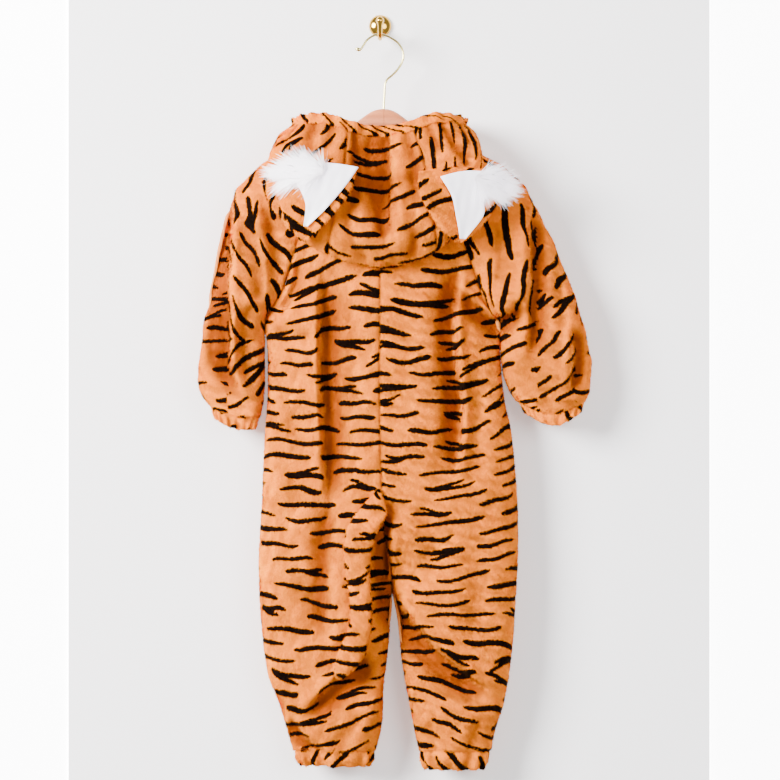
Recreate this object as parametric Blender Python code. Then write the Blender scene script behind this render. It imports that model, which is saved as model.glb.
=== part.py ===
# A child's plush tiger costume hanging by its shoulders on a wooden hanger, back to the viewer.
# Sizes in the tables are millimetres. Drop is how far a point lies below the centre of the wall plate.
# Left and right are as seen from behind, which is also the wearer's left and right.
import bpy
import bmesh
import math
import numpy as np

for item in list(bpy.data.objects):
    bpy.data.objects.remove(item, do_unlink=True)

LEFT = -1
RIGHT = 1
SEAM_GAP = 0.17
HANG_Y = -40.0
PLUSH_WALL = 3.0
SIDE_POWER = 0.62

# Body outline, neck to ankle. side_left and side_right are the raglan seams above the armpit (drop 374).
BODY = {
    "drop":       [135, 209, 284, 336, 374, 408, 476, 514, 601, 676, 726, 776, 826, 858, 889, 922],
    "side_left":  [-45, -76, -105, -121, -144, -141, -141, -144, -148, -152, -151, -147, -139, -126, -117, -107],
    "side_right": [51, 80, 106, 126, 149, 150, 156, 164, 172, 173, 170, 167, 161, 155, 145, 138],
    "depth":      [24, 28, 31, 32, 33, 33, 33, 33, 34, 34, 33, 32, 31, 30, 28, 25],
    "seam_depth": [22, 22.5, 21, 13, 0, 0, 0, 0, 0, 0, 0, 0, 0, 0, 0, 0],
}

# Inner edges of the two legs, crotch to ankle.
LEG_INNER = {
    "drop":  [715, 749, 796, 835, 882, 922],
    "left":  [15, 12.5, 9, 4, 2, -7],
    "right": [15, 23, 27, 33, 42, 50],
}

CENTRE_LINE = {"drop": [135, 586, 640, 715], "x": [2, 2, 6, 15]}
CROTCH_DROP = 715
CROTCH_START = 645

# Rows of the raglan seam shared by body and sleeve, and rows of the body below it.
SEAM_DROPS = [140, 166, 200, 235, 270, 305, 342, 374]
BODY_DROPS = [402, 430, 460, 490, 521, 552, 583, 614, 643, 668, 692, 715,
              744, 773, 802, 830, 858, 888, 916]
NECK_DIP = {"back": 25, "front": 45}

# Sleeves: outer fold line beside each seam row, then free rows below the armpit to the cuff.
SLEEVE = {
    LEFT: {
        "outer_x":    [-70, -106, -150, -183, -195, -204, -212, -220, -225, -229, -229, -225, -215],
        "outer_drop": [144, 160, 180, 211, 252, 292, 332, 372, 404, 434, 458, 473, 485],
        "inner_x":    [-150, -150, -148, -148, -151],
        "inner_drop": [397, 425, 453, 480, 497],
        "depth":      [22.4, 24.5, 27, 29, 30, 31, 31, 30, 29, 27, 25, 22, 18],
        "sag":        [0, 0, 0, 0, 0, 0, 0, 0, 1, 3, 5, 6, 6],
    },
    RIGHT: {
        "outer_x":    [76, 112, 152, 184, 203, 221, 239, 252, 262, 266, 267, 264, 259],
        "outer_drop": [144, 160, 178, 210, 245, 284, 325, 365, 402, 430, 451, 467, 478],
        "inner_x":    [156, 157, 160, 165, 172],
        "inner_drop": [397, 422, 446, 465, 478],
        "depth":      [22.4, 24.5, 27, 29, 30, 31, 31, 31, 30, 28, 26, 23, 19],
        "sag":        [0, 0, 0, 0, 0, 0, 0, 0, 2, 5, 9, 14, 16],
    },
}

# Cuff casings: inner and outer point of three rings from seam to frill.
CUFF = {
    LEFT: {
        "inner_x": [-152, -156, -158], "inner_drop": [498.8, 506, 512],
        "outer_x": [-213, -209, -207], "outer_drop": [486.8, 493, 499],
        "depth": [17, 15, 17], "sag": [6, 6, 6],
    },
    RIGHT: {
        "inner_x": [174, 180, 184], "inner_drop": [480.4, 486, 492],
        "outer_x": [257, 253, 252], "outer_drop": [480.4, 486, 491],
        "depth": [18, 16, 18], "sag": [16, 16, 16],
    },
}

# Large folds. Each is a soft valley along its path: steep on one side, gentle on the other.
# gentle_side is +1 when the gentle side lies to the right of the path walked from first to last point.
FOLDS = [
    {"face": "back", "path": [(-70, 312), (-70, 440), (-66, 585)], "depth": 11, "steep": 6, "gentle": 17, "gentle_side": -1},
    {"face": "back", "path": [(90, 285), (90, 400), (86, 540)], "depth": 10, "steep": 6, "gentle": 17, "gentle_side": 1},
    {"face": "back", "path": [(-66, 622), (-60, 700), (-56, 780)], "depth": 6, "steep": 12, "gentle": 15, "gentle_side": -1},
    {"face": "back", "path": [(0, 800), (-30, 822), (-60, 842), (-90, 866)], "depth": 9, "steep": 7, "gentle": 20, "gentle_side": -1},
    {"face": "back", "path": [(-108, 880), (-84, 902), (-62, 925)], "depth": 9, "steep": 7, "gentle": 16, "gentle_side": 1},
    {"face": "back", "path": [(20, 722), (42, 758), (64, 784), (94, 818), (150, 842)], "depth": 7, "steep": 7, "gentle": 22, "gentle_side": 1},
    {"face": "back", "path": [(8, 640), (12, 700), (16, 740)], "depth": 6, "steep": 12, "gentle": 12, "gentle_side": 1},
    {"face": "back", "path": [(-191, 200), (-191, 430), (-180, 465), (-164, 492)], "depth": 10, "steep": 6, "gentle": 18, "gentle_side": 1},
    {"face": "back", "path": [(-150, 350), (-148, 380), (-146, 398)], "depth": 6, "steep": 8, "gentle": 8, "gentle_side": 1},
    {"face": "back", "path": [(196, 262), (198, 340), (196, 440)], "depth": 7, "steep": 7, "gentle": 16, "gentle_side": -1},
    {"face": "back", "path": [(245, 388), (246, 430), (240, 470)], "depth": 8, "steep": 5, "gentle": 14, "gentle_side": -1},
    {"face": "back", "path": [(103, 335), (122, 358), (142, 376), (165, 372), (184, 350)], "depth": 7, "steep": 6, "gentle": 14, "gentle_side": 1},
    {"face": "front", "path": [(-62, 300), (-66, 420), (-60, 560)], "depth": 7, "steep": 8, "gentle": 15, "gentle_side": 1},
    {"face": "front", "path": [(78, 320), (84, 460), (80, 610)], "depth": 7, "steep": 9, "gentle": 15, "gentle_side": 1},
    {"face": "front", "path": [(-20, 800), (-80, 850)], "depth": 6, "steep": 9, "gentle": 15, "gentle_side": 1},
    {"face": "front", "path": [(46, 770), (120, 830)], "depth": 6, "steep": 9, "gentle": 15, "gentle_side": 1},
    {"face": "front", "path": [(-186, 250), (-190, 430)], "depth": 6, "steep": 8, "gentle": 14, "gentle_side": 1},
    {"face": "front", "path": [(206, 280), (212, 440)], "depth": 6, "steep": 8, "gentle": 14, "gentle_side": -1},
]

# The hood is a bag hanging behind the neck. Each station is one line of cloth from the neckline, down under,
# round the crown fold and up to the face edge: x, y and drop of neck, under, crown, outside, upper and edge.
HOOD_POINTS = ("neck", "under", "crown", "outside", "upper", "edge")
HOOD = [
    ("throat left", (-2.5, -9, 181), (-3, -8.6, 178), (-3.6, -8.2, 175), (-4.2, -7.8, 172), (-5, -7.4, 169), (-6, -7, 166)),
    ("front left", (-24, -11, 161), (-23, -10.4, 158), (-22, -9.8, 155), (-21, -9.2, 152), (-20.5, -8.6, 149), (-20, -8, 146)),
    ("jaw left", (-44, -16, 138.5), (-46, -15, 136.6), (-48, -14, 134.7), (-50.5, -13, 132.9), (-53, -12, 131.4), (-56, -11, 130)),
    ("cheek left", (-61, -33, 139), (-70, -33, 139.6), (-79.5, -33, 139.8), (-89, -33, 139), (-98, -33, 136.6), (-105, -33, 132)),
    ("over shoulder left", (-58, -51, 138), (-77, -61, 142), (-102, -66, 150), (-119, -66, 150), (-121, -61, 140), (-110, -56, 132)),
    ("outermost left", (-50, -65, 137.5), (-92, -80, 172), (-135, -85, 221), (-141, -96, 198), (-131, -98, 162), (-105, -78, 131)),
    ("back of cheek left", (-41, -65.4, 142), (-84, -79, 190), (-118, -86, 256), (-123, -106, 222), (-111, -109, 172), (-92, -92, 131)),
    ("hump left", (-29, -66.6, 150), (-62, -79, 205), (-92, -87, 281), (-92, -112, 242), (-77, -114, 184), (-68, -100, 132)),
    ("gusset seam left", (-14, -67.4, 159), (-34, -78, 215), (-62, -86, 297), (-60, -110, 262), (-45, -106, 204), (-39, -102, 141)),
    ("half gusset left", (-7, -67.4, 162), (-16, -77, 228), (-32, -85, 307), (-30, -110, 273), (-21, -95, 208), (-19, -94, 146)),
    ("valley", (1, -67.4, 163), (0, -77, 232), (4, -85, 311), (3, -108, 279), (2, -85.5, 212), (1, -90, 147)),
    ("half gusset right", (8, -67.4, 162), (18, -77, 228), (38, -85, 306), (38, -111, 270), (25, -103, 204), (21, -97, 146)),
    ("gusset seam right", (16, -67.4, 159), (36, -78, 215), (68, -86, 293), (68, -109, 256), (56, -108, 192), (41, -102, 141)),
    ("hump right", (30, -66.6, 150), (60, -79, 205), (92, -87, 272), (94, -112, 236), (84, -114, 180), (68, -100, 131)),
    ("back of cheek right", (42, -65.4, 142), (78, -79, 190), (111, -86, 248), (115, -106, 214), (107, -109, 168), (90, -92, 131)),
    ("outermost right", (54, -65, 137.5), (88, -80, 172), (124, -85, 215), (129, -96, 192), (122, -98, 158), (104, -78, 131)),
    ("over shoulder right", (64, -51, 138), (80, -61, 142), (100, -66, 150), (114, -66, 150), (117, -61, 140), (107, -56, 132)),
    ("cheek right", (68, -33, 139), (76, -33, 139.6), (84, -33, 139.8), (92, -33, 139), (99, -33, 136.6), (104, -33, 132)),
    ("jaw right", (50, -16, 138.5), (52, -15, 136.6), (54, -14, 134.7), (56.5, -13, 132.9), (59, -12, 131.4), (62, -11, 130)),
    ("front right", (28, -11, 161), (27, -10.4, 158), (26, -9.8, 155), (25, -9.2, 152), (24.5, -8.6, 149), (24, -8, 146)),
    ("throat right", (6.5, -9, 181), (7, -8.6, 178), (7.6, -8.2, 175), (8.2, -7.8, 172), (9, -7.4, 169), (10, -7, 166)),
]
GUSSET_FIRST = 8
GUSSET_LAST = 12
CROWN_ROW = 6

# Ears hang upside down on the hood: left and right edge from base to tip.
EAR = {
    LEFT: {
        "shell_left":  [(-141, 184), (-132, 214), (-118, 246), (-98, 279)],
        "shell_right": [(-28, 193), (-36, 219), (-60, 252), (-90, 279)],
        "lining_left":  [(-128, 190), (-116, 212), (-104, 238), (-95, 260)],
        "lining_right": [(-33, 194), (-46, 218), (-68, 244), (-91, 260)],
        "sink": 1.5,
        "fur": {"centre": (-96, 196), "half": (42, 19), "lean": -0.12, "strands": 13, "reach": 10},
    },
    RIGHT: {
        "shell_left":  [(47, 197), (50, 226), (68, 256), (93, 281)],
        "shell_right": [(152, 196), (147, 228), (128, 258), (101, 281)],
        "lining_left":  [(70, 203), (75, 228), (87, 254), (99, 276)],
        "lining_right": [(132, 201), (131, 228), (120, 255), (104, 276)],
        "sink": -0.5,
        "fur": {"centre": (128, 206), "half": (33, 22), "lean": 0.25, "strands": 12, "reach": 9},
    },
}

# Tail: a stuffed tube lying against the left leg.
TAIL = {
    "drop":       [587, 592, 602, 617, 634, 657, 686, 712, 749, 772, 797, 812, 820, 823],
    "x":          [-2, -3, -6, -10, -20, -27, -28, -25, -24, -29, -38, -45, -49, -50],
    "half_width": [3, 6, 12.5, 20, 20.5, 19, 16, 14.5, 15, 16.5, 17, 12.5, 7, 3],
    "half_depth": [2, 3, 4.5, 6, 7.5, 8.5, 8.5, 8.5, 8.5, 8.5, 8.5, 7.5, 5, 2],
}

# Hanger wood: centre line, half height and half thickness along its length.
WOOD = {
    "x":          [-156, -153, -146, -126, -96, -66, -44, -26, -10, 4, 18, 34, 52, 74, 104, 132, 150, 157, 160],
    "drop":       [193.3, 193.3, 191.4, 183, 172.4, 161, 151, 138, 128, 125.5, 128, 138, 151, 162, 173, 183.4, 191.5, 193.6, 193.6],
    "half_height": [2, 5, 7.5, 9, 10, 11, 12.5, 14, 15, 15.5, 15, 14, 12.5, 11, 10, 9, 7.5, 5, 2],
    "half_thick": [2, 4.5, 6, 6.5, 6.5, 6.5, 6.5, 6.5, 6.5, 6.5, 6.5, 6.5, 6.5, 6.5, 6.5, 6.5, 6, 4.5, 2],
}

# Wire of the hanger hook as x and drop, from the little ball at its tip round to the wood.
WIRE = {
    "x":    [-31.5, -30.5, -28.5, -26.6, -24.5, -21.5, -17, -10.5, -2.5, 6, 14, 22.5, 27.8, 29.4, 27.3, 22.5, 15.4,
             9, 6.6, 5.5, 4.5],
    "drop": [34, 34.3, 34.9, 35.4, 35, 31, 24, 19, 16.2, 17.3, 21, 27, 35.4, 43.6, 52, 60, 67.5, 73, 78, 92, 110.1],
    "radius": [0.8, 2.1, 2.7, 2.1, 1.5, 1.5, 1.5, 1.5, 1.5, 1.5, 1.5, 1.5, 1.5, 1.5, 1.5, 1.5, 1.5,
               1.5, 1.5, 1.5, 1.5],
}

# Arm of the wall hook as y and drop, out of the plate, down under the wire and up to its ball.
ARM = {
    "y":      [-4, -12, -22, -32, -40, -47, -52, -55, -56, -56.5, -57, -57.2],
    "drop":   [3, 8, 15.5, 20, 21.2, 19.5, 15, 9.5, 6, 2, -2, -4.2],
    "radius": [3.2, 3.2, 3.1, 3, 3, 3, 3, 3, 3.6, 5.2, 3.8, 1],
}


def through(keys, values, at):
    keys = np.asarray(keys, float)
    values = np.asarray(values, float)
    at = np.clip(np.asarray(at, float), keys[0], keys[-1])
    step = np.diff(keys)
    slope = np.diff(values) / step
    tangent = np.concatenate([slope[:1], (slope[:-1] + slope[1:]) / 2, slope[-1:]])
    place = np.clip(np.searchsorted(keys, at, side="right") - 1, 0, len(step) - 1)
    t = (at - keys[place]) / step[place]
    span = step[place]
    start = (2 * t**3 - 3 * t**2 + 1) * values[place] + (t**3 - 2 * t**2 + t) * span * tangent[place]
    end = (3 * t**2 - 2 * t**3) * values[place + 1] + (t**3 - t**2) * span * tangent[place + 1]
    return start + end


def fade(value, low, high):
    t = np.clip((np.asarray(value, float) - low) / (high - low), 0, 1)
    return t * t * (3 - 2 * t)


def foldDepth(face, x, drop):
    x = np.asarray(x, float)
    drop = np.asarray(drop, float)
    total = np.zeros(np.broadcast(x, drop).shape)
    for fold in FOLDS:
        if fold["face"] != face:
            continue
        path = np.array(fold["path"], float)
        lengths = np.hypot(*np.diff(path, axis=0).T)
        whole = lengths.sum()
        nearest = np.full(total.shape, 1e9)
        signed = np.zeros(total.shape)
        along = np.zeros(total.shape)
        walked = 0.0
        for start, end, length in zip(path[:-1], path[1:], lengths):
            way = (end - start) / length
            t = np.clip((x - start[0]) * way[0] + (drop - start[1]) * way[1], 0, length)
            offX = x - start[0] - t * way[0]
            offDrop = drop - start[1] - t * way[1]
            away = np.hypot(offX, offDrop)
            closer = away < nearest
            side = np.sign(way[1] * offX - way[0] * offDrop)
            nearest = np.where(closer, away, nearest)
            signed = np.where(closer, side, signed)
            along = np.where(closer, (walked + t) / whole, along)
            walked += length
        rightHand = -signed
        width = np.where(rightHand * fold["gentle_side"] > 0, fold["gentle"], fold["steep"])
        ends = fade(along, 0, 0.22) * (1 - fade(along, 0.74, 1))
        total = total + fold["depth"] * ends * np.exp(-(nearest / width) ** 2)
    return total


def gridNormals(points):
    alongRows = np.gradient(points, axis=0)
    alongColumns = np.gradient(points, axis=1)
    normal = np.cross(alongColumns, alongRows)
    return normal / np.maximum(np.linalg.norm(normal, axis=2, keepdims=True), 1e-9)


def unit(vectors):
    return vectors / np.maximum(np.linalg.norm(vectors, axis=-1, keepdims=True), 1e-9)


def seamGaps(outer, inner):
    # both long edges of a panel are drawn back along the cloth, so two panels meet with a small gap
    for edge, neighbour in ((0, 1), (-1, -2)):
        inward = unit(outer[:, neighbour] - outer[:, edge]) * SEAM_GAP
        outer[:, edge] += inward
        inner[:, edge] += inward
    return outer, inner


def rowGap(outer, inner, edge, neighbour):
    inward = unit(outer[neighbour] - outer[edge]) * SEAM_GAP
    outer[edge] += inward
    inner[edge] += inward


def newSolid(name, vertices, faces, material):
    mesh = bpy.data.meshes.new(name)
    mesh.from_pydata([(x / 1000, y / 1000, -drop / 1000) for x, y, drop in vertices], [], faces)
    shape = bmesh.new()
    shape.from_mesh(mesh)
    bmesh.ops.recalc_face_normals(shape, faces=shape.faces)
    shape.to_mesh(mesh)
    shape.free()
    mesh.shade_smooth()
    mesh.set_sharp_from_angle(angle=math.radians(45))
    solid = bpy.data.objects.new(name, mesh)
    bpy.context.collection.objects.link(solid)
    mesh.materials.append(material)
    return solid


def sheetSolid(name, outer, inner, material):
    rows, columns = outer.shape[:2]
    vertices = np.concatenate([outer.reshape(-1, 3), inner.reshape(-1, 3)])
    below = rows * columns
    faces = []
    for i in range(rows - 1):
        for j in range(columns - 1):
            a = i * columns + j
            faces.append((a, a + 1, a + columns + 1, a + columns))
            faces.append((below + a, below + a + columns, below + a + columns + 1, below + a + 1))
    rim = [j for j in range(columns)]
    rim += [i * columns + columns - 1 for i in range(1, rows)]
    rim += [(rows - 1) * columns + j for j in range(columns - 2, -1, -1)]
    rim += [i * columns for i in range(rows - 2, 0, -1)]
    # rim faces share one diagonal, so the facing edges of two neighbouring panels stay parallel
    for a, b in zip(rim, rim[1:] + rim[:1]):
        if a < b:
            faces += [(a, below + a, below + b), (a, below + b, b)]
        else:
            faces += [(a, below + a, b), (below + a, below + b, b)]
    return newSolid(name, vertices.tolist(), faces, material)


def ringSolid(name, outer, inner, material):
    rows, columns = outer.shape[:2]
    vertices = np.concatenate([outer.reshape(-1, 3), inner.reshape(-1, 3)])
    below = rows * columns
    faces = []
    for j in range(columns):
        k = (j + 1) % columns
        for i in range(rows - 1):
            a, b = i * columns + j, i * columns + k
            faces.append((a, b, b + columns, a + columns))
            faces.append((below + a, below + a + columns, below + b + columns, below + b))
        last = (rows - 1) * columns
        faces.append((j, below + j, below + k, k))
        faces.append((last + j, last + k, below + last + k, below + last + j))
    return newSolid(name, vertices.tolist(), faces, material)


def closedTube(name, rings, material):
    count, sides = rings.shape[:2]
    vertices = rings.reshape(-1, 3).tolist()
    faces = []
    for i in range(count - 1):
        for j in range(sides):
            k = (j + 1) % sides
            faces.append((i * sides + j, i * sides + k, (i + 1) * sides + k, (i + 1) * sides + j))
    for ring in (0, count - 1):
        vertices.append(rings[ring].mean(axis=0).tolist())
        middle = len(vertices) - 1
        for j in range(sides):
            faces.append((ring * sides + j, ring * sides + (j + 1) % sides, middle))
    return newSolid(name, vertices, faces, material)


def sweptRod(name, path, radii, sides, material):
    path = np.asarray(path, float)
    way = unit(np.gradient(path, axis=0))
    across = np.array([0.0, 1.0, 0.0]) if abs(way[0][1]) < 0.9 else np.array([1.0, 0.0, 0.0])
    if abs(way[:, 0]).max() < 1e-6:
        across = np.array([1.0, 0.0, 0.0])
    rings = []
    for place, ahead, radius in zip(path, way, radii):
        second = unit(np.cross(ahead, across))
        ring = []
        for j in range(sides):
            turn = 2 * math.pi * j / sides
            ring.append(place + radius * (math.cos(turn) * across + math.sin(turn) * second))
        rings.append(ring)
    return closedTube(name, np.array(rings), material)


def paint(name, colour, roughness, metallic=0.0):
    material = bpy.data.materials.new(name)
    material.use_nodes = True
    shader = material.node_tree.nodes["Principled BSDF"]
    shader.inputs["Base Color"].default_value = (*colour, 1)
    shader.inputs["Roughness"].default_value = roughness
    shader.inputs["Metallic"].default_value = metallic
    return material


def bodyPoints(side, face, across, drop):
    # across runs 0 at the centre seam to 1 at the raglan or side seam
    sideX = through(BODY["drop"], BODY["side_left" if side == LEFT else "side_right"], drop)
    centreX = through(CENTRE_LINE["drop"], CENTRE_LINE["x"], drop)
    innerX = through(LEG_INNER["drop"], LEG_INNER["left" if side == LEFT else "right"], drop)
    depth = through(BODY["drop"], BODY["depth"], drop)
    seamDepth = np.maximum(through(BODY["drop"], BODY["seam_depth"], drop), 0) * (drop < 374)
    closing = np.clip(1.25 * (1 - seamDepth / depth) - 0.25, 0, 1)
    torsoX = centreX + (sideX - centreX) * (across * (1 - closing) + np.sin(math.pi / 2 * across) * closing)
    power = SIDE_POWER + (1.6 - SIDE_POWER) * (1 - closing)
    torsoDepth = seamDepth + (depth - seamDepth) * np.maximum(np.cos(math.pi / 2 * across), 0) ** power
    middle = (innerX + sideX) / 2
    legX = middle - (sideX - innerX) / 2 * np.cos(math.pi * across)
    legDepth = depth * np.abs(np.sin(math.pi * across)) ** SIDE_POWER
    leg = fade(drop, CROTCH_START, CROTCH_DROP)
    x = torsoX + (legX - torsoX) * leg
    thick = torsoDepth + (legDepth - torsoDepth) * leg
    thick = thick - foldDepth(face, x, drop) * fade(thick, 4, 16)
    y = HANG_Y + (-thick if face == "back" else thick)
    return np.stack([x, y, drop + 0 * x], axis=-1)


def bodyGrid(side, face, columns):
    across = np.linspace(0, 1, columns)[None, :]
    seam = np.array(SEAM_DROPS, float)[:, None]
    dip = NECK_DIP[face] * (1 - fade(seam, 140, 330)) * (1 - across) ** 2 * (1 + across)
    drops = np.concatenate([seam + dip, np.array(BODY_DROPS, float)[:, None] + 0 * across])
    return bodyPoints(side, face, across + 0 * drops, drops)


def bodyPanel(name, side, face, columns, material):
    outer = bodyGrid(side, face, columns)
    normal = gridNormals(outer)
    outward = -1 if face == "back" else 1
    normal = normal * np.sign((normal[:, 1:-1, 1] * outward).sum())
    drops = outer[:, 0, 2]
    torso = (1 - fade(drops, CROTCH_START, CROTCH_DROP))[:, None]
    flat = unit(np.stack([0 * drops, normal[:, 0, 1], normal[:, 0, 2]], axis=-1))
    inseam = np.tile([-side, 0.0, 0.0], (len(drops), 1))
    normal[:, 0] = unit(flat * torso + inseam * (1 - torso))
    low = outer[:, -1, 2] > 373
    normal[low, -1] = [side, 0, 0]
    inner = outer - normal * PLUSH_WALL
    outer, inner = seamGaps(outer, inner)
    return sheetSolid(name, outer, inner, material)


def sleeveSection(side, innerX, innerDrop, outerX, outerDrop, depth, sag, seamDepth, around):
    # around runs 0 at the back seam, 0.5 at the outer fold, 1 at the front seam
    back = around <= 0.5
    half = np.where(back, 2 * around, 2 - 2 * around)
    closing = min(max(1.25 * (1 - seamDepth / depth) - 0.25, 0), 1)
    share = (1 - np.cos(math.pi * half)) / 2
    share = np.where(half < 0.5, half * (1 - closing) + share * closing, share)
    power = np.where(half < 0.5, SIDE_POWER + (1.4 - SIDE_POWER) * (1 - closing), SIDE_POWER + 0.35 * (1 - closing))
    swell = np.maximum(np.sin(math.pi * half), 0) ** power
    thick = np.where(half < 0.5, seamDepth + (depth - seamDepth) * swell, depth * swell)
    x = innerX + (outerX - innerX) * share
    drop = innerDrop + (outerDrop - innerDrop) * share + sag * np.sin(math.pi * share)
    backFold = foldDepth("back", x, drop)
    frontFold = foldDepth("front", x, drop)
    thick = thick - np.where(back, backFold, frontFold) * fade(thick, 4, 16)
    y = HANG_Y + np.where(back, -thick, thick)
    return np.stack([x, y, drop], axis=-1)


def sleeveRows(side, around):
    table = SLEEVE[side]
    key = "side_left" if side == LEFT else "side_right"
    rows = []
    for i, outerX in enumerate(table["outer_x"]):
        if i < len(SEAM_DROPS):
            innerDrop = SEAM_DROPS[i]
            innerX = float(through(BODY["drop"], BODY[key], innerDrop))
            seamDepth = max(float(through(BODY["drop"], BODY["seam_depth"], innerDrop)), 0.0)
            seamDepth = seamDepth if innerDrop < 374 else 0.0
        else:
            innerX = table["inner_x"][i - len(SEAM_DROPS)]
            innerDrop = table["inner_drop"][i - len(SEAM_DROPS)]
            seamDepth = 0.0
        rows.append(sleeveSection(side, innerX, innerDrop, outerX, table["outer_drop"][i],
                                  table["depth"][i], table["sag"][i], seamDepth, around))
    return np.array(rows)


def sleevePanel(name, side, columns, material):
    around = np.linspace(0, 1, columns)
    outer = sleeveRows(side, around)
    normal = gridNormals(outer)
    normal = normal * -np.sign(normal[:, 3:columns // 2 - 2, 1].sum())
    closed = np.arange(len(outer)) >= len(SEAM_DROPS) - 1
    for edge in (0, -1):
        normal[closed, edge] = [-side, 0, 0]
    inner = outer - normal * PLUSH_WALL
    outer, inner = seamGaps(outer, inner)
    return sheetSolid(name, outer, inner, material)


def gatherRings(rings, waves, swing, wall):
    # rings: rows of closed rings; the wave grows from the seam to the frill
    columns = rings.shape[1]
    centre = rings.mean(axis=1, keepdims=True)
    nextOne = np.roll(rings, -1, axis=1)
    lastOne = np.roll(rings, 1, axis=1)
    along = np.gradient(rings, axis=0)
    normal = unit(np.cross(nextOne - lastOne, along))
    normal = normal * np.sign((normal * (rings - centre)).sum())
    turn = np.arange(columns) / columns * 2 * math.pi * waves
    wave = np.sin(turn + 0.7 * np.sin(turn * 2 / waves))[None, :, None]
    size = np.array(swing)[:, None, None]
    outer = rings + normal * wave * size
    inner = outer - normal * wall
    return outer, inner


def cuffCasing(name, side, columns, waves, material):
    table = CUFF[side]
    around = np.arange(columns) / columns
    rows = []
    for i in range(len(table["depth"])):
        rows.append(sleeveSection(side, table["inner_x"][i], table["inner_drop"][i], table["outer_x"][i],
                                  table["outer_drop"][i], table["depth"][i], table["sag"][i], 0.0, around))
    outer, inner = gatherRings(np.array(rows), waves, (0.8, 1.5, 2.0), 2.4)
    return ringSolid(name, outer, inner, material)


def legRing(side, drop, narrow, depthScale, columns, low):
    around = np.arange(columns) / columns
    turn = 2 * math.pi * around
    sideX = float(through(BODY["drop"], BODY["side_left" if side == LEFT else "side_right"], drop))
    innerX = float(through(LEG_INNER["drop"], LEG_INNER["left" if side == LEFT else "right"], drop))
    depth = float(through(BODY["drop"], BODY["depth"], drop)) * depthScale
    middle = (innerX + sideX) / 2
    x = middle - (sideX - innerX) / 2 * narrow * np.cos(turn)
    thick = depth * np.abs(np.sin(turn)) ** SIDE_POWER
    back = np.sin(turn) >= 0
    fold = np.where(back, foldDepth("back", x, drop), foldDepth("front", x, drop)) * fade(thick, 4, 16)
    thick = thick - fold
    y = HANG_Y + np.where(back, -thick, thick)
    return np.stack([x, y, low + 0 * x], axis=-1)


def ankleCasing(name, side, columns, waves, material):
    bottom = 936 if side == LEFT else 940
    rows = [
        legRing(side, 917.5, 0.97, 0.95, columns, 917.5),
        legRing(side, 920, 0.88, 0.82, columns, 927),
        legRing(side, 922, 0.84, 0.84, columns, bottom),
    ]
    outer, inner = gatherRings(np.array(rows), waves, (0.8, 1.6, 2.2), 2.4)
    return ringSolid(name, outer, inner, material)


def hoodPoint(station, along):
    keys = np.arange(len(HOOD))
    coordinates = []
    for axis in range(3):
        spots = np.array([[point[axis] for point in row[1:]] for row in HOOD])
        atStation = [through(keys, spots[:, k], station) for k in range(len(HOOD_POINTS))]
        coordinates.append(through(np.arange(len(HOOD_POINTS)), atStation, along))
    return np.array([float(c) for c in coordinates])


def hoodGrid(stations, rows):
    alongs = np.linspace(0, len(HOOD_POINTS) - 1, rows)
    return np.array([[hoodPoint(s, a) for s in stations] for a in alongs])


def hoodNormals(grid, middle):
    normal = gridNormals(grid)
    lowest = grid.shape[0] * 3 // 5
    return normal * np.sign(-(normal[lowest, middle, 1]))


def hoodStations():
    left = np.linspace(0, GUSSET_FIRST, 13)
    gusset = np.linspace(GUSSET_FIRST, GUSSET_LAST, 9)
    right = np.linspace(GUSSET_LAST, len(HOOD) - 1, 13)
    return np.concatenate([left, gusset[1:], right[1:]])


def hoodPanels(material):
    grid = hoodGrid(hoodStations(), 15)
    normal = hoodNormals(grid, 16)
    inner = grid - normal * PLUSH_WALL
    cuts = {"left": (0, 12), "centre": (12, 20), "right": (20, 32)}
    for word, (first, last) in cuts.items():
        outerPart, innerPart = seamGaps(grid[:, first:last + 1].copy(), inner[:, first:last + 1].copy())
        if word == "centre":
            sheetSolid("hood_centre", outerPart, innerPart, material)
            continue
        # a side panel folds back on itself at the crown, so each layer is a solid of its own
        upper = (outerPart[CROWN_ROW:].copy(), innerPart[CROWN_ROW:].copy())
        under = (outerPart[:CROWN_ROW + 1].copy(), innerPart[:CROWN_ROW + 1].copy())
        rowGap(*upper, 0, 1)
        rowGap(*under, -1, -2)
        sheetSolid("hood_side_" + word, *upper, material)
        sheetSolid("hood_under_" + word, *under, material)
    return grid, inner


def hoodEdge(name, hoodOuter, hoodInner, columns, waves, material):
    panelEdge = hoodOuter[-1]
    rowBefore = hoodOuter[-2]
    innerEdge = hoodInner[-1]
    steps = np.linalg.norm(np.diff(panelEdge, axis=0), axis=1)
    travel = np.concatenate([[0], np.cumsum(steps)]) / steps.sum()
    even = np.linspace(0, 1, columns)
    base = np.stack([np.interp(even, travel, panelEdge[:, k]) for k in range(3)], axis=1)
    before = np.stack([np.interp(even, travel, rowBefore[:, k]) for k in range(3)], axis=1)
    lining = np.stack([np.interp(even, travel, innerEdge[:, k]) for k in range(3)], axis=1)
    onward = unit(base - before)
    along = unit(np.gradient(base, axis=0))
    wave = np.sin(even * 2 * math.pi * waves + 0.8 * np.sin(even * 19))[:, None]
    ends = np.minimum(1, np.minimum(even, 1 - even) * 12)[:, None]
    place = base + onward * 1.3
    outer = [place]
    inner = [lining + onward * 1.3]
    for height, swing, lift in ((4.8, 1.4, 0.6), (5.4, 2.1, 1.2)):
        rise = unit(onward + np.array([0, 0, -lift]))
        inward = unit(np.cross(along, rise))
        place = place + rise * height
        outer.append(place - inward * wave * swing * ends)
        inner.append(outer[-1] + inward * PLUSH_WALL)
    return sheetSolid(name, np.array(outer), np.array(inner), material)


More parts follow.
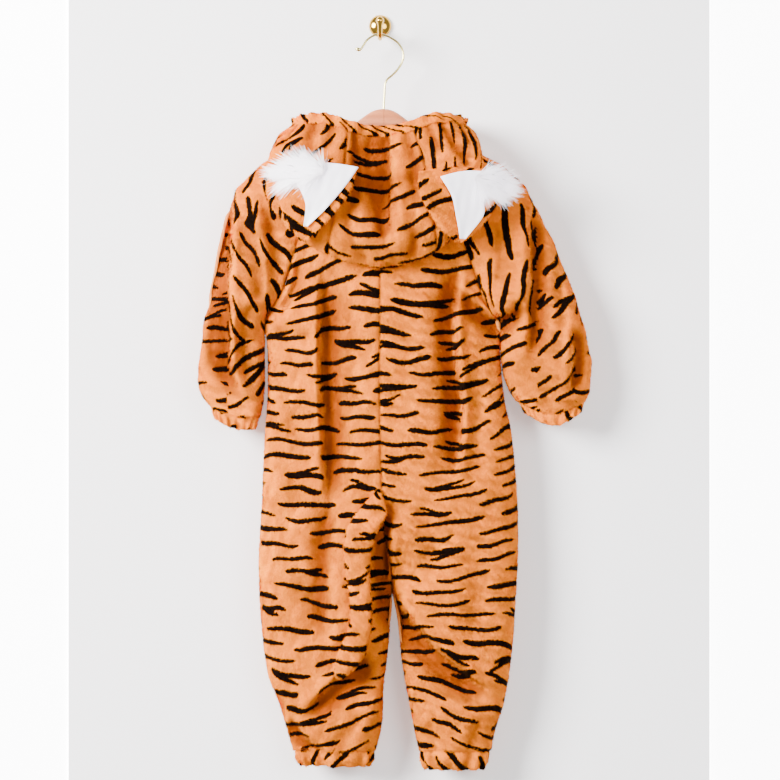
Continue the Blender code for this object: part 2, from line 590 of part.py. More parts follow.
def earBed(side, hoodOuter):
    # a gently curved bed fitted to the hood under one ear: y from x and drop, clear of the cloth
    table = EAR[side]
    outside = hoodOuter[6:].reshape(-1, 3)
    rim = np.array(table["shell_left"] + table["shell_right"], float)
    low = rim.min(axis=0) - 6
    high = rim.max(axis=0) + 6
    near = outside[np.all((outside[:, (0, 2)] > low) & (outside[:, (0, 2)] < high), axis=1)]
    middle = rim.mean(axis=0)

    def terms(x, drop):
        u = (np.asarray(x, float) - middle[0]) / 50
        v = (np.asarray(drop, float) - middle[1]) / 50
        return np.stack([1 + 0 * u, u, v, u * u, v * v], axis=-1)

    base = terms(near[:, 0], near[:, 2])
    pull = np.diag([0, 0.3, 0.3, 3.0, 3.0])
    weights = np.linalg.solve(base.T @ base + pull, base.T @ near[:, 1])
    clear = (near[:, 1] - base @ weights).min()
    weights[0] += clear + table["sink"]
    return lambda x, drop: terms(x, drop) @ weights


def earSheet(edges, face, rows, columns, cup, bulge):
    leftEdge = np.array(edges[0], float)
    rightEdge = np.array(edges[1], float)
    keys = np.linspace(0, 1, len(leftEdge))
    points = []
    for b in np.linspace(0, 1, rows):
        start = [float(through(keys, leftEdge[:, k], b)) for k in (0, 1)]
        end = [float(through(keys, rightEdge[:, k], b)) for k in (0, 1)]
        row = []
        for a in np.linspace(0, 1, columns):
            x = start[0] + (end[0] - start[0]) * a
            drop = start[1] + (end[1] - start[1]) * a - bulge * math.sin(math.pi * a) * (1 - b)
            dish = cup * (1 - abs(2 * a - 1) ** 2)
            row.append((x, float(face(x, drop)) + dish, drop))
        points.append(row)
    return np.array(points)


def earPieces(side, hoodOuter, plush, satin, fur):
    word = "left" if side == LEFT else "right"
    table = EAR[side]
    bed = earBed(side, hoodOuter)
    shell = earSheet((table["shell_left"], table["shell_right"]), lambda x, drop: bed(x, drop) - 7.0, 7, 7, 4.0, 6)
    sheetSolid("ear_" + word, shell, shell + np.array([0, 3.0, 0]), plush)
    lining = earSheet((table["lining_left"], table["lining_right"]), lambda x, drop: bed(x, drop) - 6.7, 6, 6, 2.0, 5)
    sheetSolid("ear_lining_" + word, lining + np.array([0, -1.2, 0]), lining, satin)
    tuft = table["fur"]
    count = tuft["strands"] * 2
    rings = []
    for scale, depth in ((0.5, 0.0), (1.0, 0.0), (0.92, -4.5), (0.5, -8.0)):
        ring = []
        for j in range(count):
            turn = 2 * math.pi * j / count
            long = tuft["reach"] * (1 + 0.5 * math.sin(3.7 * j)) if j % 2 == 0 else 0
            width = tuft["half"][0] * scale + long * scale**3
            height = tuft["half"][1] * scale + long * scale**3
            x = width * math.cos(turn)
            z = height * math.sin(turn)
            x = tuft["centre"][0] + x
            drop = tuft["centre"][1] + z + tuft["lean"] * (x - tuft["centre"][0])
            ring.append((x, float(bed(x, drop)) - 8.6 + depth, drop))
        rings.append(ring)
    closedTube("ear_fur_" + word, np.array(rings), fur)


def tailTube(name, sides, material):
    rings = []
    for drop, x, width, depth in zip(TAIL["drop"], TAIL["x"], TAIL["half_width"], TAIL["half_depth"]):
        ring = []
        for j in range(sides):
            turn = 2 * math.pi * j / sides
            wide = math.copysign(abs(math.cos(turn)) ** 0.9, math.cos(turn))
            thick = math.copysign(abs(math.sin(turn)) ** 0.8, math.sin(turn))
            ring.append((x + width * wide, -74.3 - depth + depth * thick, drop))
        rings.append(ring)
    return closedTube(name, np.array(rings), material)


def placketStrip(name, material):
    rows = []
    for drop in np.linspace(190, 520, 9):
        row = []
        for x in np.linspace(-14, 18, 5):
            side = LEFT if x < 2 else RIGHT
            across = np.linspace(0, 0.4, 21)
            places = bodyPoints(side, "front", across, drop + 0 * across)
            order = np.argsort(places[:, 0])
            row.append((x, np.interp(x, places[order, 0], places[order, 1]) + 0.9, drop))
        rows.append(row)
    inner = np.array(rows)
    return sheetSolid(name, inner + np.array([0, 2.6, 0]), inner, material)


def hangerWood(name, sides, material):
    rings = []
    for x, drop, height, thick in zip(WOOD["x"], WOOD["drop"], WOOD["half_height"], WOOD["half_thick"]):
        ring = []
        for j in range(sides):
            turn = 2 * math.pi * (j + 0.5) / sides
            up = math.copysign(abs(math.cos(turn)) ** 0.8, math.cos(turn))
            out = math.copysign(abs(math.sin(turn)) ** 0.7, math.sin(turn))
            ring.append((x, HANG_Y + thick * out, drop - height * up))
        rings.append(ring)
    return closedTube(name, np.array(rings), material)


def wallHook(name, brass):
    profile = [(14.2, 0), (14.2, -2.2), (12.8, -4.2), (9.8, -6.4), (5.6, -7.8), (2.2, -8.3)]
    sides = 32
    rings = []
    for radius, y in profile:
        ring = [(radius * math.cos(2 * math.pi * j / sides), y, radius * math.sin(2 * math.pi * j / sides))
                for j in range(sides)]
        rings.append(ring)
    plate = closedTube(name, np.array(rings), brass)
    path = [(0.0, y, drop) for y, drop in zip(ARM["y"], ARM["drop"])]
    arm = sweptRod("arm_cutter", path, ARM["radius"], 14, brass)
    union = plate.modifiers.new("arm", "BOOLEAN")
    union.operation = "UNION"
    union.solver = "EXACT"
    union.object = arm
    bpy.context.view_layer.objects.active = plate
    bpy.ops.object.modifier_apply(modifier=union.name)
    bpy.data.objects.remove(arm, do_unlink=True)
    return plate


plush = paint("tiger plush", (0.80, 0.33, 0.08), 0.9)
plushInner = paint("tiger plush casing", (0.78, 0.31, 0.08), 0.9)
satin = paint("white satin", (0.86, 0.85, 0.88), 0.45)
whiteFur = paint("white fur", (0.90, 0.89, 0.90), 0.9)
beech = paint("beech wood", (0.72, 0.42, 0.25), 0.5)
brass = paint("polished brass", (0.74, 0.52, 0.20), 0.22, 1.0)
paleBrass = paint("pale brass wire", (0.72, 0.62, 0.36), 0.25, 1.0)

bodyPanel("back_left", LEFT, "back", 15, plush)
bodyPanel("back_right", RIGHT, "back", 15, plush)
bodyPanel("front_left", LEFT, "front", 10, plush)
bodyPanel("front_right", RIGHT, "front", 10, plush)
placketStrip("front_placket", plush)
sleevePanel("sleeve_left", LEFT, 25, plush)
sleevePanel("sleeve_right", RIGHT, 25, plush)
cuffCasing("cuff_left", LEFT, 48, 10, plushInner)
cuffCasing("cuff_right", RIGHT, 50, 10, plushInner)
ankleCasing("ankle_left", LEFT, 52, 11, plushInner)
ankleCasing("ankle_right", RIGHT, 50, 10, plushInner)
hoodOuter, hoodInner = hoodPanels(plush)
hoodEdge("hood_edge", hoodOuter, hoodInner, 97, 23, plushInner)
earPieces(LEFT, hoodOuter, plush, satin, whiteFur)
earPieces(RIGHT, hoodOuter, plush, satin, whiteFur)
tailTube("tail", 14, plush)
hangerWood("hanger_wood", 12, beech)
sweptRod("hanger_hook", [(x, HANG_Y, drop) for x, drop in zip(WIRE["x"], WIRE["drop"])], WIRE["radius"], 10, paleBrass)
wallHook("wall_hook", brass)
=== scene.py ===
# A child's plush tiger costume on a wooden hanger, seen from behind.
import bpy
import bmesh
import math
import numpy as np
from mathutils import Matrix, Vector


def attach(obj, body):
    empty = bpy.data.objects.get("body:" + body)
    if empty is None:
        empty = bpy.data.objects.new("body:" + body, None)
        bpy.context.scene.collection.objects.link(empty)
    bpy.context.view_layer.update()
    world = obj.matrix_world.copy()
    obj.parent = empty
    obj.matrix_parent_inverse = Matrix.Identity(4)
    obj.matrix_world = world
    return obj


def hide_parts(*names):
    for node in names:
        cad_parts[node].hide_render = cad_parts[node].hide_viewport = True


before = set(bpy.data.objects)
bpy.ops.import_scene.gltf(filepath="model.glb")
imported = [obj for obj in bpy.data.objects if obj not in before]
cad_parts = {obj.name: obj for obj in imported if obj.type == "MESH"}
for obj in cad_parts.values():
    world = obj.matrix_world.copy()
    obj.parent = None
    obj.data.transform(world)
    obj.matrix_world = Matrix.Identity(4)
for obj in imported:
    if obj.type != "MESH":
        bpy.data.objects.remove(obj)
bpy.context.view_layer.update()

# Sizes in the tables are millimetres. Drop is how far a point lies below the centre of the wall plate.
left = -1
right = 1
hangY = -40.0
sidePower = 0.62
crotchDrop = 715
crotchStart = 645
pileDepth = 2.0
edgeTuck = -1.2

bodyTable = {
    "drop":       [135, 209, 284, 336, 374, 408, 476, 514, 601, 676, 726, 776, 826, 858, 889, 922],
    "side_left":  [-45, -76, -105, -121, -144, -141, -141, -144, -148, -152, -151, -147, -139, -126, -117,
                   -107],
    "side_right": [51, 80, 106, 126, 149, 150, 156, 164, 172, 173, 170, 167, 161, 155, 145, 138],
    "depth":      [24, 28, 31, 32, 33, 33, 33, 33, 34, 34, 33, 32, 31, 30, 28, 25],
    "seam_depth": [22, 22.5, 21, 13, 0, 0, 0, 0, 0, 0, 0, 0, 0, 0, 0, 0],
}
legInner = {
    "drop":  [715, 749, 796, 835, 882, 922],
    "left":  [15, 12.5, 9, 4, 2, -7],
    "right": [15, 23, 27, 33, 42, 50],
}
centreLine = {"drop": [135, 586, 640, 715], "x": [2, 2, 6, 15]}
seamDrops = [140, 166, 200, 235, 270, 305, 342, 374]
neckDip = {"back": 25, "front": 45}

sleeveTable = {
    left: {
        "outer_x":    [-70, -106, -150, -183, -195, -204, -212, -220, -225, -229, -229, -225, -215],
        "outer_drop": [144, 160, 180, 211, 252, 292, 332, 372, 404, 434, 458, 473, 485],
        "inner_x":    [-145.5, -145.5, -145, -147, -151],
        "inner_drop": [397, 425, 453, 480, 497],
        "depth":      [22.4, 24.5, 27, 29, 30, 31, 31, 30, 29, 27, 25, 22, 18],
        "sag":        [0, 0, 0, 0, 0, 0, 0, 0, 1, 3, 5, 6, 6],
    },
    right: {
        "outer_x":    [76, 112, 152, 184, 203, 221, 239, 252, 262, 266, 267, 264, 259],
        "outer_drop": [144, 160, 178, 210, 245, 284, 325, 365, 402, 430, 451, 467, 478],
        "inner_x":    [150.5, 152, 155.5, 163, 172],
        "inner_drop": [397, 422, 446, 465, 478],
        "depth":      [22.4, 24.5, 27, 29, 30, 31, 31, 31, 30, 28, 26, 23, 19],
        "sag":        [0, 0, 0, 0, 0, 0, 0, 0, 2, 5, 9, 14, 16],
    },
}
cuffTable = {
    left: {
        "inner_x": [-152, -156, -158], "inner_drop": [498.8, 506, 512],
        "outer_x": [-213, -209, -207], "outer_drop": [486.8, 493, 499],
        "depth": [17, 15, 17], "sag": [6, 6, 6],
    },
    right: {
        "inner_x": [174, 180, 184], "inner_drop": [480.4, 486, 492],
        "outer_x": [257, 253, 252], "outer_drop": [480.4, 486, 491],
        "depth": [18, 16, 18], "sag": [16, 16, 16],
    },
}

# Folds and creases: valleys along a path of x and drop, steep on one side and gentle on the other.
# side is +1 when the gentle side lies right of the path walked from first to last point.
foldTable = [
    ("back", [(-71, 300), (-71, 440), (-66, 560), (-62, 625)], 17, 3.4, 21, -1),
    ("back", [(100, 290), (89, 375), (91, 422), (99, 478), (96, 535), (91, 590)], 17, 3.4, 20, 1),
    ("back", [(-60, 592), (-69, 655), (-73, 728), (-66, 790)], 10, 11, 17, 1),
    ("back", [(-8, 792), (-22, 801), (-46, 824), (-70, 847), (-98, 874)], 15, 3.6, 24, -1),
    ("back", [(-114, 872), (-96, 899), (-79, 914), (-60, 932)], 13, 3.6, 17, 1),
    ("back", [(12, 700), (23, 740), (40, 762), (64, 786), (92, 811), (119, 833), (148, 848)], 17, 4.2, 25, 1),
    ("back", [(9, 615), (7, 660), (5, 715)], 13, 3.6, 15, 1),
    ("back", [(-191, 190), (-191, 430), (-180, 465), (-164, 492)], 16, 3.4, 20, 1),
    ("back", [(-154, 345), (-170, 372), (-173, 400), (-166, 440), (-160, 466)], 5, 4, 13, -1),
    ("back", [(192, 230), (193, 340), (190, 440)], 13, 4.2, 17, -1),
    ("back", [(243, 380), (245, 430), (240, 472)], 12, 3.4, 14, -1),
    ("back", [(93, 330), (104, 346), (124, 364), (144, 379), (165, 371), (187, 345)], 14, 3.6, 17, 1),
    ("back", [(-130, 366), (-116, 352), (-104, 330), (-102, 292)], 6, 3.6, 10, 1),
    ("back", [(-138, 384), (-120, 392), (-96, 398), (-74, 398)], 4, 4, 10, 1),
    ("back", [(-150, 362), (-150, 320), (-160, 270), (-172, 230)], 7, 4.5, 13, -1),
    ("back", [(-134, 340), (-132, 300), (-140, 250), (-152, 215)], 6, 5, 13, 1),
    ("back", [(-40, 330), (-34, 420), (-38, 520)], 3.2, 10, 14, -1),
    ("back", [(28, 330), (36, 400), (30, 470)], 2.6, 10, 14, 1),
    ("back", [(126, 430), (121, 520), (127, 600)], 3.4, 9, 15, 1),
    ("back", [(-112, 450), (-104, 540), (-110, 640)], 3.6, 10, 16, -1),
    ("back", [(54, 590), (66, 655), (58, 720)], 3.6, 9, 17, 1),
    ("back", [(112, 640), (122, 700), (112, 790)], 3.6, 9, 16, -1),
    ("back", [(-104, 680), (-96, 740), (-90, 800)], 3.4, 9, 16, 1),
    ("back", [(-20, 868), (-40, 896), (-52, 924)], 4.4, 4.5, 12, 1),
    ("back", [(128, 872), (116, 896), (108, 924)], 4.2, 4.5, 12, -1),
    ("back", [(60, 876), (66, 900), (74, 926)], 4.0, 4.5, 12, 1),
    ("back", [(140, 250), (152, 300), (150, 345)], 4.5, 6, 13, -1),
    ("back", [(221, 300), (229, 370), (222, 440)], 4.0, 6, 12, 1),
    ("back", [(-214, 300), (-210, 380), (-213, 450)], 3.6, 6, 10, 1),
    ("front", [(-62, 300), (-66, 420), (-60, 560)], 10, 5, 17, 1),
    ("front", [(78, 320), (84, 460), (80, 610)], 10, 5, 17, 1),
    ("front", [(-20, 800), (-80, 850)], 9, 6, 17, 1),
    ("front", [(46, 770), (120, 830)], 9, 6, 17, 1),
    ("front", [(-186, 250), (-190, 430)], 9, 5, 16, 1),
    ("front", [(206, 280), (212, 440)], 9, 5, 16, -1),
    ("front", [(-112, 420), (-104, 520), (-108, 600)], 4, 8, 14, 1),
    ("front", [(120, 400), (126, 500), (122, 600)], 4, 8, 14, -1),
    ("front", [(-40, 640), (-70, 700), (-84, 760)], 5, 6, 14, 1),
    ("front", [(40, 650), (60, 700), (110, 750)], 5, 6, 14, -1),
]

# A line of cloth of the hood for each station, from the neckline, under and round the crown to the face edge:
# x, y and drop of six points.
hoodTable = [
    ((-2.5, -9, 181), (-3, -8.6, 178), (-3.6, -8.2, 175), (-4.2, -7.8, 172), (-5, -7.4, 169), (-6, -7, 166)),
    ((-24, -11, 161), (-23, -10.4, 158), (-22, -9.8, 155), (-21, -9.2, 152), (-20.5, -8.6, 149),
     (-20, -8, 146)),
    ((-44, -16, 138.5), (-46, -15, 136.6), (-48, -14, 134.7), (-50.5, -13, 132.9), (-53, -12, 131.4),
     (-56, -11, 130)),
    ((-61, -33, 139), (-70, -33, 139.6), (-79.5, -33, 139.8), (-89, -33, 139), (-98, -33, 136.6),
     (-105, -33, 132)),
    ((-58, -51, 138), (-77, -61, 142), (-102, -66, 150), (-119, -66, 150), (-121, -61, 140),
     (-110, -56, 132)),
    ((-50, -65, 137.5), (-92, -80, 172), (-135, -85, 221), (-141, -96, 198), (-131, -98, 162),
     (-105, -78, 131)),
    ((-41, -65.4, 142), (-84, -79, 190), (-118, -86, 256), (-123, -106, 222), (-111, -109, 172),
     (-92, -92, 131)),
    ((-29, -66.6, 150), (-62, -79, 205), (-92, -87, 281), (-92, -112, 242), (-77, -114, 184),
     (-68, -100, 132)),
    ((-14, -67.4, 159), (-34, -78, 215), (-62, -86, 297), (-60, -110, 262), (-45, -106, 204),
     (-39, -102, 141)),
    ((-7, -67.4, 162), (-16, -77, 228), (-32, -85, 307), (-30, -110, 273), (-21, -95, 208), (-19, -94, 146)),
    ((1, -67.4, 163), (0, -77, 232), (4, -85, 311), (3, -108, 279), (2, -85.5, 212), (1, -90, 147)),
    ((8, -67.4, 162), (18, -77, 228), (38, -85, 306), (38, -111, 270), (25, -103, 204), (21, -97, 146)),
    ((16, -67.4, 159), (36, -78, 215), (68, -86, 293), (68, -109, 256), (56, -108, 192), (41, -102, 141)),
    ((30, -66.6, 150), (60, -79, 205), (92, -87, 272), (94, -112, 236), (84, -114, 180), (68, -100, 131)),
    ((42, -65.4, 142), (78, -79, 190), (111, -86, 248), (115, -106, 214), (107, -109, 168), (90, -92, 131)),
    ((54, -65, 137.5), (88, -80, 172), (124, -85, 215), (129, -96, 192), (122, -98, 158), (104, -78, 131)),
    ((64, -51, 138), (80, -61, 142), (100, -66, 150), (114, -66, 150), (117, -61, 140), (107, -56, 132)),
    ((68, -33, 139), (76, -33, 139.6), (84, -33, 139.8), (92, -33, 139), (99, -33, 136.6), (104, -33, 132)),
    ((50, -16, 138.5), (52, -15, 136.6), (54, -14, 134.7), (56.5, -13, 132.9), (59, -12, 131.4),
     (62, -11, 130)),
    ((28, -11, 161), (27, -10.4, 158), (26, -9.8, 155), (25, -9.2, 152), (24.5, -8.6, 149), (24, -8, 146)),
    ((6.5, -9, 181), (7, -8.6, 178), (7.6, -8.2, 175), (8.2, -7.8, 172), (9, -7.4, 169), (10, -7, 166)),
]
gussetFirst = 8
gussetLast = 12
hoodEnd = len(hoodTable) - 1

# Creases of the hood: path of station and line point (0 at the neck, 5 at the face edge), depth, half width.
hoodCreases = [
    ([(10.3, 4.8), (10.25, 4.2), (10.05, 3.7), (10.05, 3.3)], 7, 0.26),
    ([(9.3, 4.7), (9.4, 4.2), (9.5, 3.8)], 3, 0.5),
    ([(11, 4.7), (11, 4.1), (10.9, 3.5)], -6, 0.45),
    ([(9.1, 3.4), (9.6, 3.1)], -4, 0.5),
    ([(11.5, 4.9), (11.6, 4.2), (11.4, 3.7)], 5, 0.3),
    ([(8.5, 4.9), (8.7, 4.3), (8.8, 3.8)], 6, 0.3),
    ([(11, 3.5), (11.1, 2.9), (11, 2.5)], 4.5, 0.28),
    ([(8.6, 3.3), (8.9, 2.8), (9.3, 2.5)], 4, 0.3),
    ([(6.4, 5), (6.6, 4.4), (6.2, 3.8)], 5, 0.28),
    ([(7.3, 5), (7.2, 4.5)], 4, 0.22),
    ([(5.2, 5), (5.4, 4.5)], 4, 0.22),
    ([(13.4, 5), (13.5, 4.3), (13.9, 3.8)], 5, 0.28),
    ([(14.6, 5), (14.4, 4.4)], 4, 0.22),
    ([(12.6, 5), (12.7, 4.4)], 4, 0.2),
    ([(7.6, 3.4), (7.2, 2.8)], 4.5, 0.35),
    ([(12.9, 3.2), (13.2, 2.7)], 4.5, 0.35),
]

# Places of the hood that get painted shade, between its lobes and under the ears: path, depth, half width.
hoodPaintedShade = [
    ([(9.75, 5), (9.8, 4.4), (9.95, 3.85)], 1.0, 0.62),
    ([(10.0, 3.9), (10.05, 3.3)], 1.0, 0.22),
    ([(8.9, 4.25), (9.5, 4.0), (10.0, 3.55)], 0.75, 0.17),
    ([(11.6, 4.0), (10.8, 4.05), (10.2, 3.9)], 0.6, 0.13),
    ([(11.0, 3.6), (11.0, 3.1)], 0.5, 0.16),
    ([(8.2, 4.4), (8.2, 3.6)], 0.4, 0.4),
    ([(12.0, 4.6), (12.0, 3.7)], 0.35, 0.3),
    ([(7.0, 2.7), (7.4, 2.6)], 0.3, 0.5),
]

earTable = {
    left: {
        "shell_left":  [(-141, 184), (-132, 214), (-118, 246), (-98, 279)],
        "shell_right": [(-28, 193), (-36, 219), (-60, 252), (-90, 279)],
        "lining_left":  [(-116, 190), (-101, 212), (-91, 236), (-93, 263)],
        "lining_right": [(-26, 191), (-42, 214), (-66, 242), (-89, 263)],
        "sink": 1.5,
        "fur": {"centre": (-94, 198), "half": (30, 13), "lean": -0.1, "flow": (-1.0, 0.3), "count": 2300},
    },
    right: {
        "shell_left":  [(47, 197), (50, 226), (68, 256), (93, 281)],
        "shell_right": [(152, 196), (147, 228), (128, 258), (101, 281)],
        "lining_left":  [(74, 203), (88, 226), (94, 252), (99, 278)],
        "lining_right": [(141, 197), (129, 229), (127, 250), (105, 278)],
        "sink": -0.5,
        "fur": {"centre": (134, 209), "half": (19, 14), "lean": 0.2, "flow": (1.0, -0.12), "count": 1900},
    },
}
tailTable = {
    "drop":       [587, 592, 602, 617, 634, 657, 686, 712, 749, 772, 797, 812, 820, 823],
    "x":          [-2, -3, -6, -10, -20, -27, -28, -25, -24, -29, -38, -45, -49, -50],
    "half_width": [3, 6, 12.5, 20, 20.5, 19, 16, 14.5, 15, 16.5, 17, 12.5, 7, 3],
    "half_depth": [2, 3, 4.5, 6, 7.5, 8.5, 8.5, 8.5, 8.5, 8.5, 8.5, 7.5, 5, 2],
}
woodTable = {
    "x":          [-156, -153, -146, -126, -96, -66, -44, -26, -10, 4, 18, 34, 52, 74, 104, 132, 150, 157,
                   160],
    "drop":       [193.3, 193.3, 191.4, 183, 172.4, 161, 151, 138, 128, 125.5, 128, 138, 151, 162, 173,
                   183.4, 191.5, 193.6, 193.6],
    "half_height": [2, 5, 7.5, 9, 10, 11, 12.5, 14, 15, 15.5, 15, 14, 12.5, 11, 10, 9, 7.5, 5, 2],
    "half_thick": [2, 4.5, 6, 6.5, 6.5, 6.5, 6.5, 6.5, 6.5, 6.5, 6.5, 6.5, 6.5, 6.5, 6.5, 6.5, 6, 4.5, 2],
}
wireTable = {
    "x":    [-31.5, -30.5, -28.5, -26.6, -24.5, -21.5, -17, -10.5, -2.5, 6, 14, 22.5, 27.8, 29.4, 27.3,
             22.5, 15.4, 9, 6.6, 5.5, 4.5],
    "drop": [34, 34.3, 34.9, 35.4, 35, 31, 24, 19, 16.2, 17.3, 21, 27, 35.4, 43.6, 52, 60, 67.5, 73, 78,
             92, 110.1],
}
armTable = {
    "y":      [-4, -12, -22, -32, -40, -47, -52, -55, -56, -56.5, -57, -57.2],
    "drop":   [3, 8, 15.5, 20, 21.2, 19.5, 15, 9.5, 6, 2, -2, -4.2],
    "radius": [3.2, 3.2, 3.1, 3, 3, 3, 3, 3, 3.6, 5.2, 3.8, 1],
}


def word(side):
    return "left" if side == left else "right"


def through(keys, values, at):
    # a smooth curve through the rows of a table
    keys = np.asarray(keys, float)
    values = np.asarray(values, float)
    at = np.clip(np.asarray(at, float), keys[0], keys[-1])
    trail = (1,) * (values.ndim - 1)
    step = np.diff(keys)
    slope = np.diff(values, axis=0) / step.reshape(step.shape + trail)
    tangent = np.concatenate([slope[:1], (slope[:-1] + slope[1:]) / 2, slope[-1:]])
    place = np.clip(np.searchsorted(keys, at, side="right") - 1, 0, len(step) - 1)
    t = ((at - keys[place]) / step[place]).reshape(at.shape + trail)
    span = step[place].reshape(at.shape + trail)
    start = (2 * t**3 - 3 * t**2 + 1) * values[place] + (t**3 - 2 * t**2 + t) * span * tangent[place]
    end = (3 * t**2 - 2 * t**3) * values[place + 1] + (t**3 - t**2) * span * tangent[place + 1]
    return start + end


def fade(value, low, high):
    t = np.clip((np.asarray(value, float) - low) / (high - low), 0, 1)
    return t * t * (3 - 2 * t)


def unit(vectors):
    return vectors / np.maximum(np.linalg.norm(vectors, axis=-1, keepdims=True), 1e-9)


def gridNormals(points):
    normal = np.cross(np.gradient(points, axis=1), np.gradient(points, axis=0))
    return unit(normal)


def pathDistance(path, x, y):
    # distance to a path, the side of it and the share walked along it
    path = np.array(path, float)
    lengths = np.hypot(*np.diff(path, axis=0).T)
    nearest = np.full(x.shape, 1e9)
    side = np.zeros(x.shape)
    along = np.zeros(x.shape)
    walked = 0.0
    for start, end, length in zip(path[:-1], path[1:], lengths):
        way = (end - start) / length
        t = np.clip((x - start[0]) * way[0] + (y - start[1]) * way[1], 0, length)
        offX = x - start[0] - t * way[0]
        offY = y - start[1] - t * way[1]
        away = np.hypot(offX, offY)
        closer = away < nearest
        nearest = np.where(closer, away, nearest)
        side = np.where(closer, -np.sign(way[1] * offX - way[0] * offY), side)
        along = np.where(closer, (walked + t) / lengths.sum(), along)
        walked += length
    return nearest, side, along


def foldDepth(face, x, drop):
    x, drop = np.broadcast_arrays(np.asarray(x, float), np.asarray(drop, float))
    total = np.zeros(x.shape)
    for where, path, depth, steep, gentle, gentleSide in foldTable:
        if where != face:
            continue
        nearest, side, along = pathDistance(path, x, drop)
        ends = fade(along, 0, 0.22) * (1 - fade(along, 0.74, 1))
        onGentle = side * gentleSide > 0
        width = np.where(onGentle, gentle, steep)
        valley = np.exp(-(nearest / width) ** 2)
        lip = np.where(onGentle, 0, 0.3 * np.exp(-((nearest - 3.1 * steep) / (1.8 * steep)) ** 2))
        total = total + depth * ends * (valley - lip)
    return total


def foldAround(back, x, drop):
    return np.where(back, foldDepth("back", x, drop), foldDepth("front", x, drop))


def ripples(x, drop, size, height, seed):
    # soft uneven waves, none of them regular
    pick = np.random.default_rng(seed)
    total = np.zeros(np.broadcast(x, drop).shape)
    for _ in range(9):
        turn = pick.uniform(0, math.pi)
        wave = size * pick.uniform(0.6, 1.7)
        phase = pick.uniform(0, 6.3)
        total = total + np.sin((x * math.cos(turn) + drop * math.sin(turn)) * 2 * math.pi / wave + phase)
    return total * height / 3


def bodyPoints(side, face, across, drop):
    sideX = through(bodyTable["drop"], bodyTable["side_" + word(side)], drop)
    centreX = through(centreLine["drop"], centreLine["x"], drop)
    innerX = through(legInner["drop"], legInner[word(side)], drop)
    depth = through(bodyTable["drop"], bodyTable["depth"], drop)
    seamDepth = np.maximum(through(bodyTable["drop"], bodyTable["seam_depth"], drop), 0) * (drop < 374)
    closing = np.clip(1.25 * (1 - seamDepth / depth) - 0.25, 0, 1)
    torsoX = centreX + (sideX - centreX) * (across * (1 - closing) + np.sin(math.pi / 2 * across) * closing)
    power = sidePower + (1.6 - sidePower) * (1 - closing)
    torsoDepth = seamDepth + (depth - seamDepth) * np.maximum(np.cos(math.pi / 2 * across), 0) ** power
    middle = (innerX + sideX) / 2
    legX = middle - (sideX - innerX) / 2 * np.cos(math.pi * across)
    legDepth = depth * np.abs(np.sin(math.pi * across)) ** sidePower
    leg = fade(drop, crotchStart, crotchDrop)
    x = torsoX + (legX - torsoX) * leg
    thick = torsoDepth + (legDepth - torsoDepth) * leg
    thick = thick - foldDepth(face, x, drop) * fade(thick, 4, 16)
    y = hangY + (-thick if face == "back" else thick)
    return np.stack([x, y, drop + 0 * x], axis=-1)


def sleeveSection(innerX, innerDrop, outerX, outerDrop, depth, sag, seamDepth, around):
    back = around <= 0.5
    half = np.where(back, 2 * around, 2 - 2 * around)
    closing = min(max(1.25 * (1 - seamDepth / depth) - 0.25, 0), 1)
    share = (1 - np.cos(math.pi * half)) / 2
    share = np.where(half < 0.5, half * (1 - closing) + share * closing, share)
    seamPower = sidePower + (1.4 - sidePower) * (1 - closing)
    power = np.where(half < 0.5, seamPower, sidePower + 0.35 * (1 - closing))
    swell = np.maximum(np.sin(math.pi * half), 0) ** power
    thick = np.where(half < 0.5, seamDepth + (depth - seamDepth) * swell, depth * swell)
    x = innerX + (outerX - innerX) * share
    drop = innerDrop + (outerDrop - innerDrop) * share + sag * np.sin(math.pi * share)
    thick = thick - foldAround(back, x, drop) * fade(thick, 4, 16)
    return np.stack([x, hangY + np.where(back, -thick, thick), drop], axis=-1)


def sleeveRows(side, rows, around):
    # the same sections as the frame's, read between its rows
    table = sleeveTable[side]
    count = len(table["outer_x"])
    seamX = through(bodyTable["drop"], bodyTable["side_" + word(side)], seamDrops)
    keys = {
        "innerX": np.concatenate([seamX, table["inner_x"]]),
        "innerDrop": np.concatenate([seamDrops, table["inner_drop"]]).astype(float),
        "outerX": table["outer_x"], "outerDrop": table["outer_drop"],
        "depth": table["depth"], "sag": table["sag"],
    }
    seamDepth = np.maximum(through(bodyTable["drop"], bodyTable["seam_depth"], seamDrops), 0)
    seamDepth[-1] = 0
    keys["seamDepth"] = np.concatenate([seamDepth, np.zeros(count - len(seamDrops))])
    places = np.linspace(0, count - 1, rows)
    read = {name: np.interp(places, np.arange(count), values) for name, values in keys.items()}
    return np.array([sleeveSection(around=around, **{name: float(values[i]) for name, values in read.items()})
                     for i in range(rows)])


def gatherRings(rings, waves, swing):
    columns = rings.shape[1]
    centre = rings.mean(axis=1, keepdims=True)
    along = np.gradient(rings, axis=0)
    normal = unit(np.cross(np.roll(rings, -1, axis=1) - np.roll(rings, 1, axis=1), along))
    normal = normal * np.sign((normal * (rings - centre)).sum())
    turn = np.arange(columns) / columns * 2 * math.pi * waves
    uneven = 1 + 0.35 * np.sin(turn * 3 / waves + 1.2) + 0.2 * np.sin(turn * 5 / waves)
    wave = (np.sin(turn + 0.7 * np.sin(turn * 2 / waves)) * uneven)[None, :, None]
    return rings + normal * wave * np.array(swing)[:, None, None]


